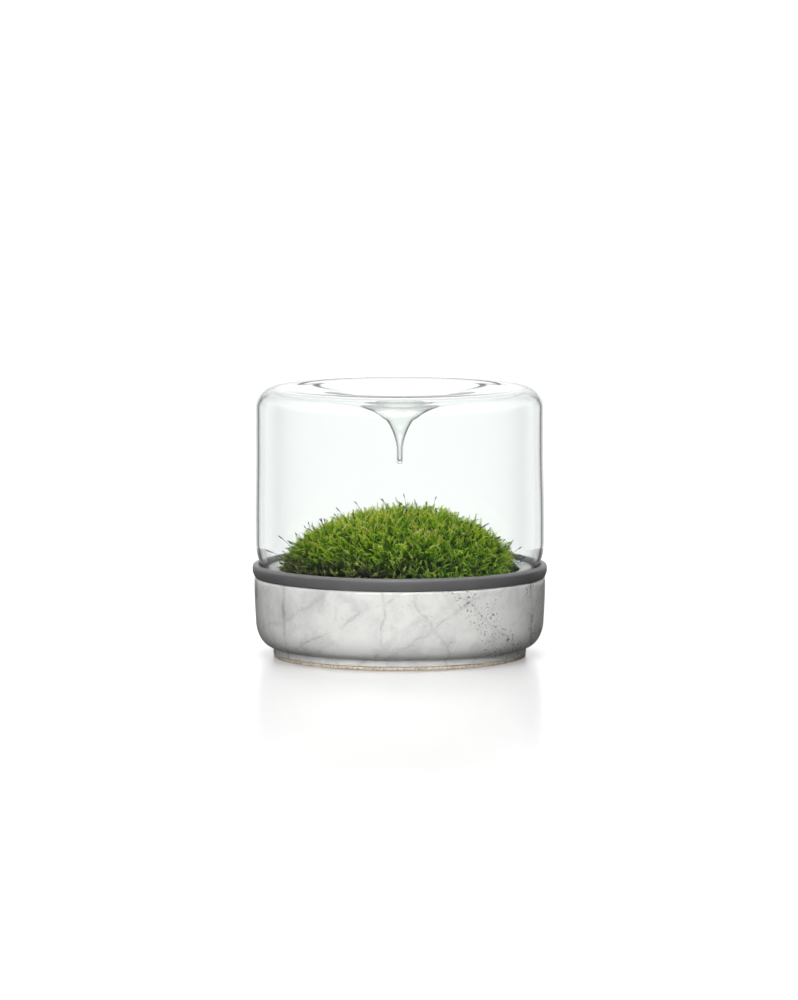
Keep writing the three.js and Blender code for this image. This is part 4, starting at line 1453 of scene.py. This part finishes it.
class TERRARIUM_OT_drainage(bpy.types.Operator):
    """Adds the drainage pebbles on the bowl's floor"""

    bl_idname = "terrarium.drainage"
    bl_label = "Drainage Pebbles"

    def execute(self, context):
        sizes = context.scene.terrarium_sizes
        colours = context.scene.terrarium_colours
        random = np.random.default_rng(21)
        size = sizes.pebble / MM
        centres = []
        for height, reach in ((BOWL_FLOOR_Z + 3.6, 84), (BOWL_FLOOR_Z + 10, 94)):
            turn = random.uniform(0, math.tau, 4000)
            share = np.sqrt(random.uniform(0, 1, 4000)) * (reach - size * 0.55)
            layer = np.column_stack(
                (share * np.cos(turn), share * np.sin(turn), np.full(4000, float(height)))
            )
            centres.append(layer[spaced(layer, size * 0.92, 400)])
        centres = np.concatenate(centres)
        widths = size * random.uniform(0.85, 1.15, len(centres))
        points, groups = lumps(centres, widths, 0.68, 0.12, 3, 22)
        points[:, 2] = np.clip(points[:, 2], BOWL_FLOOR_Z + 0.1, GRAVEL_TOP_Z)
        material = earthy("river_pebbles", colours.pebbles, 9, 0.45, 0.7)
        add_piece("pebble_layer", points, groups, material, "drainage_gravel", crease=60)
        return {"FINISHED"}


class TERRARIUM_OT_soil(bpy.types.Operator):
    """Adds the potting soil, with crumbs on its open edge"""

    bl_idname = "terrarium.soil"
    bl_label = "Potting Soil"

    def execute(self, context):
        colours = context.scene.terrarium_colours
        wall_r = BOWL_MOUTH_R - BOWL_LIP_R - CLEARANCE
        open_r = np.linspace(wall_r, SOIL_OPEN_R, 30)
        hidden_r = np.linspace(SOIL_OPEN_R - 2, 0, 16)
        top_r = np.concatenate((open_r, hidden_r))
        outline = [
            [0, SOIL_BASE_Z],
            [60, SOIL_BASE_Z],
            [SOIL_FOOT_R, SOIL_BASE_Z],
            [BOWL_INSIDE_R - 0.4, BOWL_INSIDE_Z],
            [wall_r, BOWL_RIM_Z - BOWL_LIP_R],
            *np.column_stack((top_r, soil_height(top_r))).tolist(),
        ]
        points, groups = turned(outline, 384)
        radius = np.hypot(points[:, 0], points[:, 1])
        on_top = (points[:, 2] > BOWL_RIM_Z - BOWL_LIP_R + 1) & (radius > 90)
        crumbs = 0.75 * ripple(points, 3.2, 31) + 0.45 * ripple(points, 1.5, 32)
        points[:, 2] += np.where(on_top, crumbs, 0)

        random = np.random.default_rng(33)
        turn = random.uniform(0, math.tau, 1500)
        reach = random.uniform(92, wall_r - 1.2, 1500)
        centres = np.column_stack(
            (reach * np.cos(turn), reach * np.sin(turn), soil_height(reach) + 0.1)
        )
        centres = centres[spaced(centres, 1.7, 700)]
        widths = random.gamma(3.0, 0.55, len(centres)) + 0.9
        crumb_points, crumb_groups = lumps(centres, np.minimum(widths, 4.2), 0.8, 0.3, 2, 34)
        points, groups = joined([(points, groups), (crumb_points, crumb_groups)])
        material = earthy("damp_potting_soil", colours.soil, 2.2, 0.3, 0.9)
        add_piece("potting_soil", points, groups, material, "soil", crease=50)
        return {"FINISHED"}


class TERRARIUM_OT_moss(bpy.types.Operator):
    """Grows the moss cushions, with their leafy shoots and spore stalks"""

    bl_idname = "terrarium.moss"
    bl_label = "Moss"

    def execute(self, context):
        sizes = context.scene.terrarium_sizes
        colours = context.scene.terrarium_colours
        random = np.random.default_rng(50)
        templates = [leafy_shoot(random, sizes) for _ in range(SHOOT_KINDS)]
        feet, owner = scattered_shoots(sizes)
        materials = {
            slot: living_moss(name)
            for slot, name in (
                ("moss_bright", "young_moss"),
                ("moss_deep", "grown_moss"),
                ("moss_old", "old_moss"),
            )
        }
        for order, (name, node, _, _, slot) in enumerate(CUSHIONS):
            random = np.random.default_rng(70 + order)
            layers = [
                cushion_body(order, colours),
                grown_shoots(feet[owner == order], templates, sizes, colours, random),
                stalks_of(order, sizes, colours, random),
            ]
            points, groups = joined([layer[:2] for layer in layers])
            shades = np.concatenate([layer[2] for layer in layers])
            cushion = add_piece(name, points, groups, materials[slot], node)
            carried = cushion.data.color_attributes.new("shoot_colour", "FLOAT_COLOR", "POINT")
            shades = np.column_stack((np.clip(shades, 0, 1), np.ones(len(shades))))
            carried.data.foreach_set("color", shades.astype(np.float32).ravel())
            cushion.data.color_attributes.active_color = carried
        return {"FINISHED"}


class TERRARIUM_OT_stage(bpy.types.Operator):
    """Adds the pale floor, the soft studio light and the camera"""

    bl_idname = "terrarium.stage"
    bl_label = "Stage"

    def execute(self, context):
        scene = context.scene
        scene.view_settings.view_transform = "Standard"
        points, groups = turned([[0, 0], [FLOOR_R, 0]], 96)
        points[:, 2] = FLOOR_Z
        floor_mesh = bpy.data.meshes.new("studio_floor")
        floor_mesh.from_pydata((points * MM).tolist(), [], groups[0].tolist())
        floor = bpy.data.objects.new("studio_floor", floor_mesh)
        scene.collection.objects.link(floor)
        floor_mesh.materials.append(white_acrylic())
        scene.world = studio_light()

        camera = bpy.data.cameras.new("camera")
        camera.sensor_fit = "VERTICAL"
        camera.sensor_height = 36
        camera.lens = LENS
        camera.clip_end = 100
        eye = bpy.data.objects.new("camera", camera)
        scene.collection.objects.link(eye)
        distance = scene.terrarium_sizes.camera_distance
        eye.location = (
            CAMERA_SIDE,
            -distance * math.cos(CAMERA_TILT),
            CAMERA_AIM_Z + distance * math.sin(CAMERA_TILT),
        )
        eye.rotation_euler = (math.pi / 2 - CAMERA_TILT, 0, 0)
        scene.camera = eye
        return {"FINISHED"}


OPERATORS = (
    TERRARIUM_OT_foot_pad,
    TERRARIUM_OT_marble_bowl,
    TERRARIUM_OT_seal_ring,
    TERRARIUM_OT_glass_dome,
    TERRARIUM_OT_drainage,
    TERRARIUM_OT_soil,
    TERRARIUM_OT_moss,
    TERRARIUM_OT_stage,
)


class TERRARIUM_PT_panel(bpy.types.Panel):
    """Sizes, colours and pieces of the terrarium"""

    bl_idname = "TERRARIUM_PT_panel"
    bl_label = "Terrarium"
    bl_space_type = "VIEW_3D"
    bl_region_type = "UI"
    bl_category = "Terrarium"

    def draw(self, context):
        layout = self.layout
        for settings in (context.scene.terrarium_sizes, context.scene.terrarium_colours):
            column = layout.column()
            for name in settings.__annotations__:
                column.prop(settings, name)
        column = layout.column()
        for operator in OPERATORS:
            column.operator(operator.bl_idname)


CLASSES = (TerrariumSizes, TerrariumColours, *OPERATORS, TERRARIUM_PT_panel)


def register():
    """Registers the classes and hangs the settings on the scene."""
    for cls in CLASSES:
        bpy.utils.register_class(cls)
    bpy.types.Scene.terrarium_sizes = bpy.props.PointerProperty(type=TerrariumSizes)
    bpy.types.Scene.terrarium_colours = bpy.props.PointerProperty(type=TerrariumColours)


def unregister():
    """Takes back what register did."""
    del bpy.types.Scene.terrarium_colours
    del bpy.types.Scene.terrarium_sizes
    for cls in reversed(CLASSES):
        bpy.utils.unregister_class(cls)


def main():
    """Builds the terrarium and its stage."""
    register()
    bpy.ops.terrarium.foot_pad()
    bpy.ops.terrarium.marble_bowl()
    bpy.ops.terrarium.seal_ring()
    bpy.ops.terrarium.glass_dome()
    bpy.ops.terrarium.drainage()
    bpy.ops.terrarium.soil()
    bpy.ops.terrarium.moss()
    bpy.ops.terrarium.stage()


if __name__ == "__main__":
    main()
